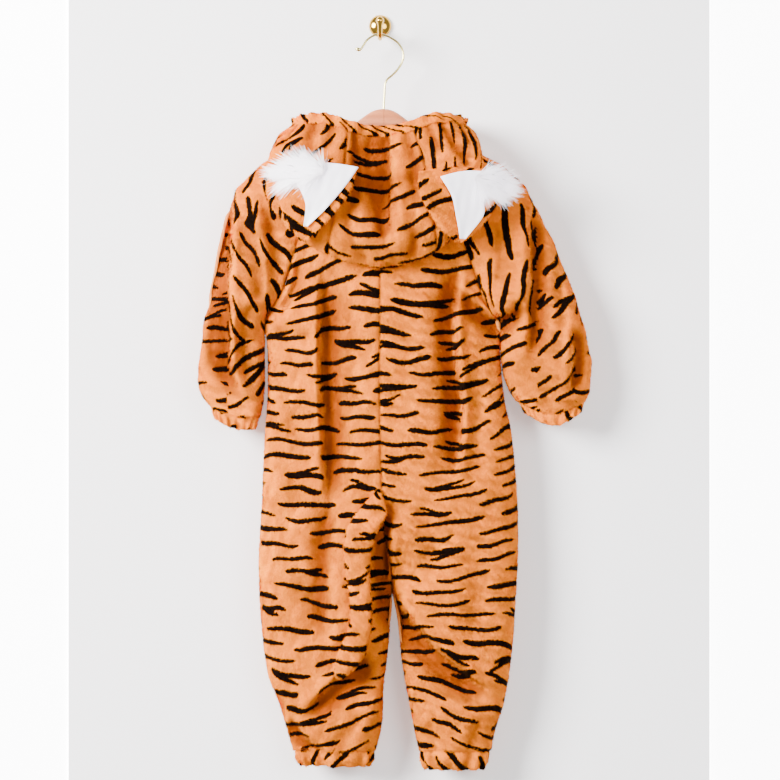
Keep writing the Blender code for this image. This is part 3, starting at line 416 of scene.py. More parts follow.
def legRing(side, drop, narrow, depthScale, columns, low):
    turn = 2 * math.pi * np.arange(columns) / columns
    sideX = float(through(bodyTable["drop"], bodyTable["side_" + word(side)], drop))
    innerX = float(through(legInner["drop"], legInner[word(side)], drop))
    depth = float(through(bodyTable["drop"], bodyTable["depth"], drop)) * depthScale
    x = (innerX + sideX) / 2 - (sideX - innerX) / 2 * narrow * np.cos(turn)
    thick = depth * np.abs(np.sin(turn)) ** sidePower
    back = np.sin(turn) >= 0
    thick = thick - foldAround(back, x, drop) * fade(thick, 4, 16)
    return np.stack([x, hangY + np.where(back, -thick, thick), low + 0 * x], axis=-1)


def hoodGrid(stations, rows):
    keys = np.arange(len(hoodTable))
    atStation = through(keys, np.array(hoodTable, float), stations)
    return through(np.arange(6), np.moveaxis(atStation, 1, 0), np.linspace(0, 5, rows))


def hoodEdgeRows(edge, before, columns, waves):
    steps = np.linalg.norm(np.diff(edge, axis=0), axis=1)
    travel = np.concatenate([[0], np.cumsum(steps)]) / steps.sum()
    even = np.linspace(0, 1, columns)
    base, last = (np.stack([np.interp(even, travel, line[:, k]) for k in range(3)], axis=1)
                  for line in (edge, before))
    onward = unit(base - last)
    along = unit(np.gradient(base, axis=0))
    uneven = 1 + 0.4 * np.sin(even * 17 + 1) + 0.25 * np.sin(even * 41)
    wave = (np.sin(even * 2 * math.pi * waves + 0.8 * np.sin(even * 19)) * uneven)[:, None]
    ends = np.minimum(1, np.minimum(even, 1 - even) * 12)[:, None]
    place = base + onward * 0.3
    rise = unit(onward + np.array([0, 0, -0.6]))
    rows = [place - onward * 2.6 - unit(np.cross(along, rise)) * edgeTuck]
    for height, swing, lift in ((4.8, 1.4, 0.6), (5.4, 2.1, 1.2)):
        rise = unit(onward + np.array([0, 0, -lift]))
        inward = unit(np.cross(along, rise))
        place = place + rise * height
        rows.append(place - inward * wave * swing * ends)
    return np.array(rows)


def earBed(side):
    table = earTable[side]
    stations = np.concatenate([np.linspace(0, 8, 13), np.linspace(8, 12, 9)[1:], np.linspace(12, 20, 13)[1:]])
    outside = hoodGrid(stations, 15)[6:].reshape(-1, 3)
    rim = np.array(table["shell_left"] + table["shell_right"], float)
    low = rim.min(axis=0) - 6
    high = rim.max(axis=0) + 6
    near = outside[np.all((outside[:, (0, 2)] > low) & (outside[:, (0, 2)] < high), axis=1)]
    middle = rim.mean(axis=0)

    def terms(x, drop):
        u = (np.asarray(x, float) - middle[0]) / 50
        v = (np.asarray(drop, float) - middle[1]) / 50
        return np.stack([1 + 0 * u, u, v, u * u, v * v], axis=-1)

    base = terms(near[:, 0], near[:, 2])
    weights = np.linalg.solve(base.T @ base + np.diag([0, 0.3, 0.3, 3.0, 3.0]), base.T @ near[:, 1])
    weights[0] += (near[:, 1] - base @ weights).min() + table["sink"]
    return lambda x, drop: terms(x, drop) @ weights


def inMetres(points):
    return points * np.array([0.001, 0.001, -0.001])


def newPiece(name, points, faces, materials, uv=None):
    mesh = bpy.data.meshes.new(name)
    mesh.from_pydata(points.tolist(), [], faces)
    piece = bpy.data.objects.new(name, mesh)
    bpy.context.collection.objects.link(piece)
    for material in materials:
        mesh.materials.append(material)
    if uv is not None:
        layer = mesh.uv_layers.new(name="cloth")
        corner = np.empty(len(mesh.loops), dtype=np.int32)
        mesh.loops.foreach_get("vertex_index", corner)
        layer.uv.foreach_set("vector", np.asarray(uv, np.float32)[corner].ravel())
    mesh.shade_smooth()
    return piece


def applyModifiers(piece):
    bpy.ops.object.select_all(action="DESELECT")
    piece.select_set(True)
    bpy.context.view_layer.objects.active = piece
    for modifier in list(piece.modifiers):
        bpy.ops.object.modifier_apply(modifier=modifier.name)


def setValues(mesh, name, values):
    layer = mesh.attributes.new(name, "FLOAT", "POINT")
    layer.data.foreach_set("value", np.ravel(values).astype(np.float32))


def gridFaces(rows, columns, ring):
    across = columns if ring else columns - 1
    faces = []
    for i in range(rows - 1):
        for j in range(across):
            k = (j + 1) % columns
            faces.append((i * columns + j, i * columns + k, (i + 1) * columns + k, (i + 1) * columns + j))
    return faces


def closeRing(piece):
    weld = piece.modifiers.new("close the ring", "WELD")
    weld.merge_threshold = 0.00001


def clothShell(name, points, uv, outward, materials, paintedShade=None, wall=1.0, ring=False):
    # points are rows by columns in table sizes; outward is a rough outward direction for each point
    rows, columns = points.shape[:2]
    paintedShade = np.zeros((rows, columns)) if paintedShade is None else paintedShade
    metres = inMetres(points)
    nextOne = np.roll(metres, -1, axis=1) - metres if ring else np.gradient(metres, axis=1)
    normal = np.cross(nextOne, np.gradient(metres, axis=0))
    faces = gridFaces(rows, columns, ring)
    if (normal * outward).sum() < 0:
        faces = [face[::-1] for face in faces]
    if ring:
        # the pattern wraps, so the last column of faces has its own points
        points = np.concatenate([points, points[:, :1]], axis=1)
        paintedShade = np.concatenate([paintedShade, paintedShade[:, :1]], axis=1)
        metres = inMetres(points)
        columns += 1
        faces = gridFaces(rows, columns, False)
        if (normal * outward).sum() < 0:
            faces = [face[::-1] for face in faces]
    piece = newPiece(name, metres.reshape(-1, 3), faces, materials, uv.reshape(-1, 2))
    setValues(piece.data, "paintedShade", paintedShade)
    if ring:
        closeRing(piece)
    shell = piece.modifiers.new("cloth thickness", "SOLIDIFY")
    shell.thickness = wall / 1000
    shell.offset = -1
    shell.use_even_offset = False
    shell.material_offset = 1
    applyModifiers(piece)
    return piece


def addAllowance(points, normals, uv, paintedShade, firstColumn=True, lastColumn=True):
    # each seam edge turns inwards, so that two panels meet at the bottom of a soft valley
    def turned(edge, neighbour):
        outwards = unit(points[:, edge] - points[:, neighbour])
        row = points[:, edge] + outwards * 1.3 - normals[:, edge] * 2.4
        # the turned edge gets full painted shade
        return row[:, None], (2 * uv[:, edge] - uv[:, neighbour])[:, None], np.ones((len(row), 1))
    parts = [(points, uv, paintedShade)]
    if firstColumn:
        parts.insert(0, turned(0, 1))
    if lastColumn:
        parts.append(turned(-1, -2))
    return [np.concatenate(kind, axis=1) for kind in zip(*parts)]


def rotated(uv, angle):
    u, v = uv[..., 0], uv[..., 1]
    return np.stack([u * np.cos(angle) - v * np.sin(angle), u * np.sin(angle) + v * np.cos(angle)], axis=-1)


def sinkOf(seamNear, relief, seamDip):
    # how far the cloth lies under the frame's face: room for the pile, the seam's valley and soft relief
    return pileDepth + seamDip * np.exp(-(seamNear / 2.6) ** 2) + relief - 0.2


def arcs(points, axis):
    # the length walked along rows or columns
    steps = np.linalg.norm(np.diff(points, axis=axis), axis=2)
    zero = np.zeros_like(np.take(steps, [0], axis=axis))
    return np.cumsum(np.concatenate([zero, steps], axis=axis), axis=axis)


def addNode(tree, kind, values=(), **settings):
    node = tree.nodes.new(kind)
    for name, value in settings.items():
        setattr(node, name, value)
    for place, value in enumerate(values):
        if value is None:
            continue
        if isinstance(value, bpy.types.NodeSocket):
            tree.links.new(value, node.inputs[place])
        else:
            node.inputs[place].default_value = value
    return node


def calc(tree, operation, *values):
    return addNode(tree, "ShaderNodeMath", values, operation=operation).outputs[0]


def linear(colour):
    channels = [int(colour[i:i + 2], 16) / 255 for i in (0, 2, 4)]
    return tuple(c / 12.92 if c <= 0.04045 else ((c + 0.055) / 1.055) ** 2.4 for c in channels) + (1,)


strokeValues = {
    "pitch": 17.5, "sway": 11.0, "swaySize": 120.0, "cellShort": 68.0, "cellLong": 108.0,
    "halfThick": 2.95, "extraThick": 0.75, "tilt": 2.2, "bend": 3.6, "forks": 0.74, "opening": 6.0,
}


def stripeGroup():
    # black strokes in uneven rows: blunt, bent and here and there forked; measures in millimetres
    values = strokeValues
    tree = bpy.data.node_groups.new("tiger strokes", "ShaderNodeTree")
    tree.interface.new_socket("place", in_out="INPUT", socket_type="NodeSocketVector")
    tree.interface.new_socket("stroke", in_out="OUTPUT", socket_type="NodeSocketFloat")
    start = tree.nodes.new("NodeGroupInput")

    def op(operation, *terms):
        return calc(tree, operation, *terms)

    def random(*parts):
        # three even numbers from 0 to 1 that belong to one stroke
        spot = addNode(tree, "ShaderNodeCombineXYZ", parts).outputs[0]
        noise = addNode(tree, "ShaderNodeTexWhiteNoise", (spot,), noise_dimensions="3D").outputs[1]
        return addNode(tree, "ShaderNodeSeparateXYZ", (noise,)).outputs

    place = addNode(tree, "ShaderNodeVectorMath", (start.outputs[0], (1000, 1000, 1000)),
                    operation="MULTIPLY").outputs[0]
    wide, fine = (addNode(tree, "ShaderNodeTexNoise", (place, None, 1 / size, 1.0, rough),
                          noise_dimensions="2D") for size, rough in ((values["swaySize"], 0.4), (2.2, 0.5)))
    parts = addNode(tree, "ShaderNodeSeparateXYZ", (place,))
    sway = op("MULTIPLY_ADD", wide.outputs[0], 2 * values["sway"], -values["sway"])
    rows = op("DIVIDE", op("ADD", parts.outputs[1], sway), values["pitch"])
    found = None
    for shift in (-1, 0, 1):
        row = op("ADD", op("FLOOR", rows), shift)
        own = addNode(tree, "ShaderNodeTexWhiteNoise", (None, row), noise_dimensions="1D").outputs[0]
        length = op("MULTIPLY_ADD", own, values["cellLong"] - values["cellShort"], values["cellShort"])
        slid = op("DIVIDE", op("MULTIPLY_ADD", own, 977, parts.outputs[0]), length)
        cell = op("FLOOR", slid)
        first = random(row, cell, 0.0)
        second = random(cell, row, 7.0)
        third = random(row, 5.0, cell)
        flip = op("MULTIPLY_ADD", op("GREATER_THAN", second[2], 0.5), 2, -1)
        half = op("MULTIPLY_ADD", op("POWER", first[0], 0.6), 0.24, 0.23)
        t = op("MULTIPLY", op("DIVIDE", op("SUBTRACT", op("SUBTRACT", slid, cell), 0.5), half), flip)
        square = op("MULTIPLY", t, t)
        tilted = op("MULTIPLY", op("MULTIPLY_ADD", first[1], 2 * values["tilt"], -values["tilt"]), t)
        bend = op("MULTIPLY_ADD", first[2], 2 * values["bend"], -values["bend"])
        bent = op("MULTIPLY", bend, op("SUBTRACT", 0.5, square))
        waved = op("MULTIPLY", op("SINE", op("MULTIPLY_ADD", t, 4.2, op("MULTIPLY", second[0], 6.3))), 1.1)
        line = op("ADD", op("ADD", tilted, bent), waved)
        forked = op("GREATER_THAN", third[0], values["forks"])
        way = op("MULTIPLY_ADD", op("GREATER_THAN", third[1], 0.5), 2, -1)
        line = op("SUBTRACT", line, op("MULTIPLY", op("MULTIPLY", way, forked), 2.6))
        height = op("MULTIPLY", op("SUBTRACT", op("SUBTRACT", rows, row), 0.5), values["pitch"])
        blunt = op("POWER", op("MAXIMUM", op("SUBTRACT", 1.0, op("POWER", square, 3.6)), 0.0), 0.5)
        swell = op("MULTIPLY_ADD", t, -0.16, 0.92)
        fullThick = op("MULTIPLY_ADD", second[1], values["extraThick"], values["halfThick"])
        thick = op("MULTIPLY", fullThick, op("MULTIPLY", blunt, swell))
        stroke = op("SUBTRACT", thick, op("ABSOLUTE", op("SUBTRACT", height, line)))
        # beyond its two ends a stroke is nothing at all
        stroke = op("SUBTRACT", stroke, op("MULTIPLY", op("GREATER_THAN", square, 0.995), 9))
        leave = op("MULTIPLY_ADD", op("GREATER_THAN", third[2], 0.6), 0.75, -0.9)
        ahead = op("SUBTRACT", t, leave)
        branch = op("MULTIPLY_ADD", op("MULTIPLY", op("MAXIMUM", ahead, 0.0), way), values["opening"], line)
        reach = op("SUBTRACT", 1.0, op("POWER", op("ABSOLUTE", op("DIVIDE", ahead, 1.45)), 8.0))
        slim = op("MULTIPLY", op("POWER", op("MAXIMUM", reach, 0.0), 0.5), 2.6)
        fork = op("SUBTRACT", slim, op("ABSOLUTE", op("SUBTRACT", height, branch)))
        missing = op("MAXIMUM", op("SUBTRACT", 1.0, forked), op("LESS_THAN", ahead, 0.0))
        missing = op("MAXIMUM", missing, op("GREATER_THAN", ahead, 1.44))
        both = op("MAXIMUM", stroke, op("SUBTRACT", fork, op("MULTIPLY", missing, 9)))
        found = both if found is None else op("MAXIMUM", found, both)
    edge = op("ADD", found, op("MULTIPLY_ADD", fine.outputs[0], 0.5, -0.25))
    soft = addNode(tree, "ShaderNodeMapRange", (edge, -0.3, 0.3, 0.0, 1.0), interpolation_type="SMOOTHSTEP")
    end = tree.nodes.new("NodeGroupOutput")
    tree.links.new(soft.outputs[0], end.inputs[0])
    return tree


def colourRamp(tree, level, *stops):
    # stops are a place and a colour each, from low to high
    ramp = addNode(tree, "ShaderNodeValToRGB", (level,))
    elements = ramp.color_ramp.elements
    while len(elements) < len(stops):
        elements.new(0.5)
    for element, (place, colour) in zip(elements, stops):
        element.position = place
        element.color = colour
    return ramp.outputs[0]


def blend(tree, share, low, high):
    values = (share, None, None, None, None, None, low, high)
    return addNode(tree, "ShaderNodeMix", values, data_type="RGBA").outputs[2]


def setFinish(shader, finish):
    for name, value in finish.items():
        shader.inputs[name].default_value = value


def newMaterial(name):
    material = bpy.data.materials.new(name)
    material.use_nodes = True
    shader = material.node_tree.nodes["Principled BSDF"]
    return material, material.node_tree, shader


strokes = stripeGroup()


def plushMaterial():
    # soft printed plush: matt, glowing a little where the pile stands against the light
    material, tree, shader = newMaterial("short-pile tiger plush")
    place = addNode(tree, "ShaderNodeUVMap", uv_map="cloth").outputs[0]
    group = addNode(tree, "ShaderNodeGroup", node_tree=strokes)
    tree.links.new(place, group.inputs[0])
    black = group.outputs[0]
    tip = addNode(tree, "ShaderNodeAttribute", attribute_name="tip").outputs[2]
    patch, clump = (addNode(tree, "ShaderNodeTexNoise", (place, None, scale, detail, 0.6),
                            noise_dimensions="2D") for scale, detail in ((24.0, 3.0), (260.0, 2.0)))
    mottle = calc(tree, "MULTIPLY_ADD", clump.outputs[0], 0.3, calc(tree, "MULTIPLY", patch.outputs[0], 0.22))
    # painted shade at the roots: tufts are darker at their roots and lighter at their tips, in the orange
    # here and in the black strokes below; the cloth under the pile has no tip and takes the darkest root
    # colour
    level = calc(tree, "MULTIPLY_ADD", tip, 0.5, mottle)
    bright = colourRamp(tree, level, (0.1, linear("DE6E04")), (0.55, linear("FA8604")), (1, linear("FF9C1C")))
    # painted shade: where the cloth lies in folds, at seams, beside the tail and in the hood's shade spots,
    # the orange is darkened towards deep brown
    paintedShade = addNode(tree, "ShaderNodeAttribute", attribute_name="paintedShade").outputs[2]
    orange = blend(tree, calc(tree, "MULTIPLY", paintedShade, 0.95), bright, linear("A04402"))
    dark = blend(tree, tip, linear("060303"), linear("140B0A"))
    tree.links.new(blend(tree, black, orange, dark), shader.inputs["Base Color"])
    tree.links.new(calc(tree, "MULTIPLY_ADD", black, -0.12, 0.14), shader.inputs["Sheen Weight"])
    setFinish(shader, {"Roughness": 0.9, "Specular IOR Level": 0.08, "Sheen Roughness": 0.5,
                       "Sheen Tint": linear("FF9C3A"), "Specular Tint": linear("FFB060")})
    return material


def backingMaterial():
    # the knitted back of the plush, where the print shows through as a plain pale orange
    material, tree, shader = newMaterial("knitted plush backing")
    place = addNode(tree, "ShaderNodeUVMap", uv_map="cloth").outputs[0]
    knit = addNode(tree, "ShaderNodeTexWave", (place, 380.0, 1.5, 1.0), wave_type="BANDS").outputs[1]
    colour = colourRamp(tree, knit, (0, linear("B8641E")), (1, linear("DA8234")))
    tree.links.new(colour, shader.inputs["Base Color"])
    setFinish(shader, {"Roughness": 0.9})
    return material


def satinMaterial():
    # white polyester satin: bright, with a soft broad shine
    material, tree, shader = newMaterial("white satin lining")
    place = addNode(tree, "ShaderNodeTexCoord").outputs[3]
    thread = addNode(tree, "ShaderNodeTexNoise", (place, None, 900.0, 2.0, 0.5)).outputs[0]
    colour = colourRamp(tree, thread, (0, linear("E9E4EA")), (1, linear("FBF8FC")))
    tree.links.new(colour, shader.inputs["Base Color"])
    # a faint lilac emission makes the satin glow: painted light that brightens the white
    setFinish(shader, {"Roughness": 0.42, "Sheen Weight": 0.2, "Emission Color": linear("F3EBFF"),
                       "Emission Strength": 0.9})
    return material


def furMaterial():
    # long white fur, darker and greyer towards the roots, with a faint lilac emission that makes it glow:
    # painted light
    material, tree, shader = newMaterial("long white fur")
    tip = addNode(tree, "ShaderNodeAttribute", attribute_name="tip").outputs[2]
    colour = colourRamp(tree, tip, (0, linear("D9D2D4")), (0.5, linear("FFFDFF")))
    tree.links.new(colour, shader.inputs["Base Color"])
    setFinish(shader, {"Roughness": 0.55, "Sheen Weight": 0.4, "Emission Color": linear("FBEFFF"),
                       "Emission Strength": 0.7})
    return material


def beechMaterial():
    # steamed beech under a satin varnish: pinkish tan with short dark flecks along the grain
    material, tree, shader = newMaterial("satin-varnished beech")
    place = addNode(tree, "ShaderNodeTexCoord").outputs[3]
    stretched = addNode(tree, "ShaderNodeMapping", (place,))
    stretched.inputs["Scale"].default_value = (18, 160, 160)
    grain = addNode(tree, "ShaderNodeTexNoise", (stretched.outputs[0], None, 1.0, 4.0, 0.6))
    flecks = addNode(tree, "ShaderNodeTexNoise", (stretched.outputs[0], None, 7.0, 2.0, 0.5))
    level = calc(tree, "MULTIPLY_ADD", flecks.outputs[0], 0.3, calc(tree, "MULTIPLY", grain.outputs[0], 0.7))
    colour = colourRamp(tree, level, (0.3, linear("A5572D")), (0.7, linear("CC7D4E")))
    tree.links.new(colour, shader.inputs["Base Color"])
    setFinish(shader, {"Roughness": 0.42, "Coat Weight": 0.2, "Coat Roughness": 0.3})
    return material


def brassMaterial(name, low, high, roughness):
    # lacquered brass: bright reflections over a slightly uneven yellow
    material, tree, shader = newMaterial(name)
    place = addNode(tree, "ShaderNodeTexCoord").outputs[3]
    cloud = addNode(tree, "ShaderNodeTexNoise", (place, None, 220.0, 2.0, 0.5)).outputs[0]
    tree.links.new(colourRamp(tree, cloud, (0, linear(low)), (1, linear(high))), shader.inputs["Base Color"])
    setFinish(shader, {"Metallic": 1.0, "Roughness": roughness})
    return material


plush = plushMaterial()
backing = backingMaterial()
satin = satinMaterial()
whiteFur = furMaterial()
beech = beechMaterial()
brass = brassMaterial("polished brass", "B98A2E", "D9AE4E", 0.12)
paleBrass = brassMaterial("pale brass plate", "C9B878", "E0D39A", 0.2)


def meshArrays(piece):
    mesh = piece.data
    mesh.calc_loop_triangles()
    count = len(mesh.loop_triangles)
    corners = np.empty(count * 3, dtype=np.int32)
    loops = np.empty(count * 3, dtype=np.int32)
    slots = np.empty(count, dtype=np.int32)
    mesh.loop_triangles.foreach_get("vertices", corners)
    mesh.loop_triangles.foreach_get("loops", loops)
    mesh.loop_triangles.foreach_get("material_index", slots)
    points = np.empty(len(mesh.vertices) * 3)
    mesh.vertices.foreach_get("co", points)
    normals = np.empty(len(mesh.vertices) * 3)
    mesh.vertices.foreach_get("normal", normals)
    uv = np.empty(len(mesh.loops) * 2, dtype=np.float32)
    mesh.uv_layers["cloth"].uv.foreach_get("vector", uv)
    paintedShade = np.zeros(len(mesh.vertices), dtype=np.float32)
    if "paintedShade" in mesh.attributes:
        mesh.attributes["paintedShade"].data.foreach_get("value", paintedShade)
    return (points.reshape(-1, 3), normals.reshape(-1, 3), corners.reshape(-1, 3), loops.reshape(-1, 3),
            uv.reshape(-1, 2), slots, paintedShade)


def swirl(points, size, seed):
    # a smooth field of directions, so that neighbouring tufts lie together in small clumps
    pick = np.random.default_rng(seed)
    total = np.zeros_like(points)
    for _ in range(10):
        way = unit(pick.normal(size=3))
        wave = size * pick.uniform(0.6, 1.8)
        crests = np.sin(points @ way * 2 * math.pi / wave + pick.uniform(0, 6.3))
        total += crests[:, None] * pick.normal(size=3)
    return total / 3


# Each tuft stands off the cloth, lies downwards and strays, and is a little wider or longer than the next.
tuftValues = {"stand": 0.62, "lie": 0.75, "stray": 0.28, "halfWidth": (0.45, 0.75), "tall": (0.65, 1.15)}


def pileOn(piece, perSquareCentimetre, height, seed, keep=None):
    # the pile: each tuft is one slim triangle, rooted on the cloth and lying downwards
    points, normals, corners, loops, uv, slots, paintedShade = meshArrays(piece)
    outer = slots == 0
    corners, loops = corners[outer], loops[outer]
    a, b, c = (points[corners[:, k]] for k in range(3))
    areas = np.linalg.norm(np.cross(b - a, c - a), axis=1) / 2
    weight = areas.copy()
    if keep is not None:
        weight = weight * keep((a + b + c) / 3 * 1000 * np.array([1, 1, -1]), normals[corners[:, 0]])
    count = int(weight.sum() * 1e4 * perSquareCentimetre)
    pick = np.random.default_rng(seed)
    chosen = pick.choice(len(weight), count, p=weight / weight.sum())
    mix = pick.dirichlet((1, 1, 1), count)
    root = sum(points[corners[chosen, k]] * mix[:, k:k + 1] for k in range(3))
    normal = unit(sum(normals[corners[chosen, k]] * mix[:, k:k + 1] for k in range(3)))
    flat = sum(uv[loops[chosen, k]] * mix[:, k:k + 1].astype(np.float32) for k in range(3))
    clump = swirl(root, 0.011, seed + 1)
    sway = swirl(root, 0.05, seed + 2)
    down = np.array([0, 0, -1.0]) + 0.35 * sway + 0.4 * clump
    down = down - normal * (down * normal).sum(axis=1, keepdims=True)
    own = tuftValues
    lean = unit(normal * own["stand"] + unit(down) * own["lie"] + pick.normal(size=(count, 3)) * own["stray"])
    outward = (lean * normal).sum(axis=1, keepdims=True)
    lean = unit(lean + normal * np.maximum(0.25 - outward, 0))
    side = unit(np.cross(lean, normal) + pick.normal(size=(count, 3)) * 0.25)
    width = pick.uniform(*own["halfWidth"], (count, 1)) / 1000
    tall = height * pick.uniform(*own["tall"], (count, 1)) / 1000
    vertices = np.stack([root - side * width, root + side * width, root + lean * tall], axis=1).reshape(-1, 3)
    mesh = bpy.data.meshes.new(piece.name + "_pile")
    mesh.vertices.add(count * 3)
    mesh.loops.add(count * 3)
    mesh.polygons.add(count)
    mesh.vertices.foreach_set("co", vertices.ravel())
    mesh.loops.foreach_set("vertex_index", np.arange(count * 3, dtype=np.int32))
    mesh.polygons.foreach_set("loop_start", np.arange(0, count * 3, 3, dtype=np.int32))
    mesh.update(calc_edges=True)
    layer = mesh.uv_layers.new(name="cloth")
    layer.uv.foreach_set("vector", np.repeat(flat, 3, axis=0).astype(np.float32).ravel())
    # each tuft carries the painted shade of the cloth under its root
    shade = sum(paintedShade[corners[chosen, k]] * mix[:, k] for k in range(3))
    # tip runs from 0 at the root to 1 at the tip, for the painted shade at the roots
    setValues(mesh, "tip", np.tile([0.0, 0.0, 1.0], count))
    setValues(mesh, "paintedShade", np.repeat(shade, 3))
    mesh.materials.append(plush)
    mesh.shade_smooth()
    facing = unit(normal + 0.2 * clump + 0.2 * lean + pick.normal(size=(count, 3)) * 0.12)
    mesh.normals_split_custom_set_from_vertices(np.repeat(facing, 3, axis=0).tolist())
    tufts = bpy.data.objects.new(piece.name + "_pile", mesh)
    bpy.context.collection.objects.link(tufts)
    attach(tufts, "root")
    return tufts


print("tables and materials ready")

# The body: two back panels and two front panels, neck to ankle.
bodyValues = {
    "back": {"columns": 74, "seamRows": 58, "lowRows": 124},
    "front": {"columns": 38, "seamRows": 34, "lowRows": 72},
}

# Where the print leans: middle x and drop, radius and slope.
printLeans = {
    left: [(-96, 300, 80, 0.34), (-112, 430, 60, -0.2), (-52, 884, 66, 0.5), (-120, 720, 70, -0.12),
           (-40, 600, 60, 0.1)],
    right: [(125, 400, 80, 0.24), (150, 540, 80, 0.22), (130, 680, 90, 0.12), (92, 880, 70, -0.34),
            (24, 330, 60, -0.1)],
}


def leaning(leans, x, drop):
    total = np.zeros(np.broadcast(x, drop).shape)
    for centreX, centreDrop, radius, slope in leans:
        near = np.exp(-((x - centreX) ** 2 + (drop - centreDrop) ** 2) / (radius * 1.5) ** 2)
        total = total + slope * (x - centreX) * near
    return total


def tailShade(x, drop):
    # the cloth lies in shade beside the tail and at the top of the leg gap
    beforeLeg = pathDistance([(12, 612), (8, 665), (5, 725)], x, drop)[0]
    underTail = pathDistance([(-14, 560), (-34, 640), (-40, 720)], x, drop)[0]
    return 9 * np.exp(-(beforeLeg / 12) ** 2) + 4 * np.exp(-(underTail / 9) ** 2)


def dressed(piece, node):
    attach(piece, "root")
    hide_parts(node)
    return piece


def closingIn(normal, seamNear):
    # where a seam edge faces sideways it stays out, so that no gap opens between two panels
    sideways = fade(np.abs(normal[..., 0]), 0.2, 0.6)
    return 1 - 0.9 * sideways * (1 - fade(seamNear, 0, 10))


def shadeOf(fold, seamNear):
    # how much painted shade a point gets from the depth of a fold and the nearness of a seam, from 0 to 1
    return np.clip(fade(fold, 0.5, 9.5) + 0.5 * np.exp(-(seamNear / 2.0) ** 2), 0, 1)


def bodyPanel(name, node, side, face, offset):
    back = face == "back"
    values = bodyValues[face]
    seam = np.linspace(seamDrops[0], seamDrops[-1], values["seamRows"])[:, None]
    low = np.linspace(seamDrops[-1], 916, values["lowRows"])[1:, None]
    across = np.linspace(0, 1, values["columns"])[None, :]
    lower = neckDip[face] * (1 - fade(seam, 140, 330)) * (1 - across) ** 2 * (1 + across)
    drops = np.concatenate([seam + lower, low + 0 * across])
    points = bodyPoints(side, face, across + 0 * drops, drops)
    outward = np.array([0, -1.0 if back else 1.0, 0])
    normal = gridNormals(points)
    normal = normal * np.sign((normal[:, 2:-2] * outward).sum())
    normal[drops[:, -1] > 373, -1] = unit(np.array([side, 0.25 * outward[1], 0]))
    x = points[..., 0]
    uv = np.stack([arcs(points, 1) * side, drops + leaning(printLeans[side], x, drops)], axis=-1)
    seamNear = np.minimum(arcs(points, 1), arcs(points[:, ::-1], 1)[:, ::-1])
    relief = ripples(x, drops, 62, 0.8, 3 + side) + ripples(x, drops, 26, 0.25, 9 + side)
    sink = sinkOf(seamNear, relief * fade(seamNear, 0, 25), 1.7) * closingIn(normal, seamNear)
    points = points - normal * sink[..., None]
    # painted shade from the folds and, on the back, beside the tail and at the top of the leg gap
    shade = foldDepth(face, points[..., 0], drops)
    if back:
        shade = shade + tailShade(points[..., 0], drops)
    paintedShade = shadeOf(shade, seamNear)
    points, uv, paintedShade = addAllowance(points, normal, uv, paintedShade)
    piece = clothShell(name, points, uv / 1000 + np.array(offset), outward, [plush, backing], paintedShade)
    return dressed(piece, node)


cloths = {}
for node, name, side, face, offset in (
    ("back_left", "left_back_panel", left, "back", (3.1, 1.7)),
    ("back_right", "right_back_panel", right, "back", (7.45, 2.31)),
    ("front_left", "left_front_panel", left, "front", (11.2, 4.4)),
    ("front_right", "right_front_panel", right, "front", (15.3, 5.2)),
):
    cloths[node] = bodyPanel(name, node, side, face, offset)
print("body ready")

# Raglan sleeves, one panel each, seam to cuff.
sleeveValues = {"rows": 92, "columns": 98}

# Cloth that hangs over at the armpits: middle x and drop, radius, and the shift in x, depth and drop.
pouches = {
    left: [((-163, 352), 17, (2, -7, 4)), ((-152, 396), 15, (0, 6, 0))],
    right: [((158, 352), 22, (-9, -13, 7)), ((176, 420), 20, (-2, -6, 0)), ((150, 334), 15, (-5, -5, 5))],
}


def pouched(side, points):
    total = points.copy()
    for (x, drop), radius, shift in pouches[side]:
        near = np.exp(-((points[..., 0] - x) ** 2 + (points[..., 2] - drop) ** 2) / radius ** 2)
        total = total + (near * (points[..., 1] < hangY))[..., None] * np.array(shift, float)
    return total


def sleeveAngles(side, x, drop, back):
    # the way the strokes run, in degrees above level towards the right
    if side == left:
        angle = np.where(x < -190, -3.0, -46.0)
        angle = np.where((x >= -190) & (drop > 400), 24.0, angle)
    else:
        angle = np.where(x < 196, 62.0, 38.0)
        angle = np.where((x < 196) & (drop > 372), 12.0, angle)
        angle = np.where((x > 244) & (drop > 385), 8.0, angle)
    return np.where(back, angle, -0.5 * angle)


def sleevePanel(name, node, side, offset):
    rows, columns = sleeveValues["rows"], sleeveValues["columns"]
    around = np.linspace(0, 1, columns)
    points = pouched(side, sleeveRows(side, rows, around))
    normal = gridNormals(points)
    middle = columns // 4
    normal = normal * -np.sign(normal[:, middle - 10:middle + 10, 1].sum())
    closed = points[:, 0, 2] > 373
    for edge in (0, -1):
        normal[closed, edge] = [-side, 0, 0]
    length = arcs(points, 1)
    travelled = length - length[:, columns // 2:columns // 2 + 1]
    x, drop = points[..., 0], points[..., 2]
    relief = ripples(x, drop, 48, 0.9, 21 + side) + ripples(x, drop, 22, 0.35, 5)
    seamNear = np.minimum(length, length[:, -1:] - length)
    sink = sinkOf(seamNear, relief * fade(seamNear, 0, 22), 1.7) * closingIn(normal, seamNear)
    outer = points - normal * sink[..., None]
    back = points[..., 1] < hangY
    # painted shade from the folds and the seams
    shade = shadeOf(foldAround(back, x, drop), seamNear)
    sheetPoints, flat, paintedShade = addAllowance(outer, normal, np.stack([travelled, drop], axis=-1), shade)
    outward = np.tile(np.array([0, -1.0, 0]), (rows, columns + 2, 1))
    outward[:, (columns + 2) // 2:] *= -1
    piece = clothShell(name, sheetPoints, flat / 1000, outward, [plush, backing], paintedShade)
    turnPattern(piece, side, offset)
    return dressed(piece, node)


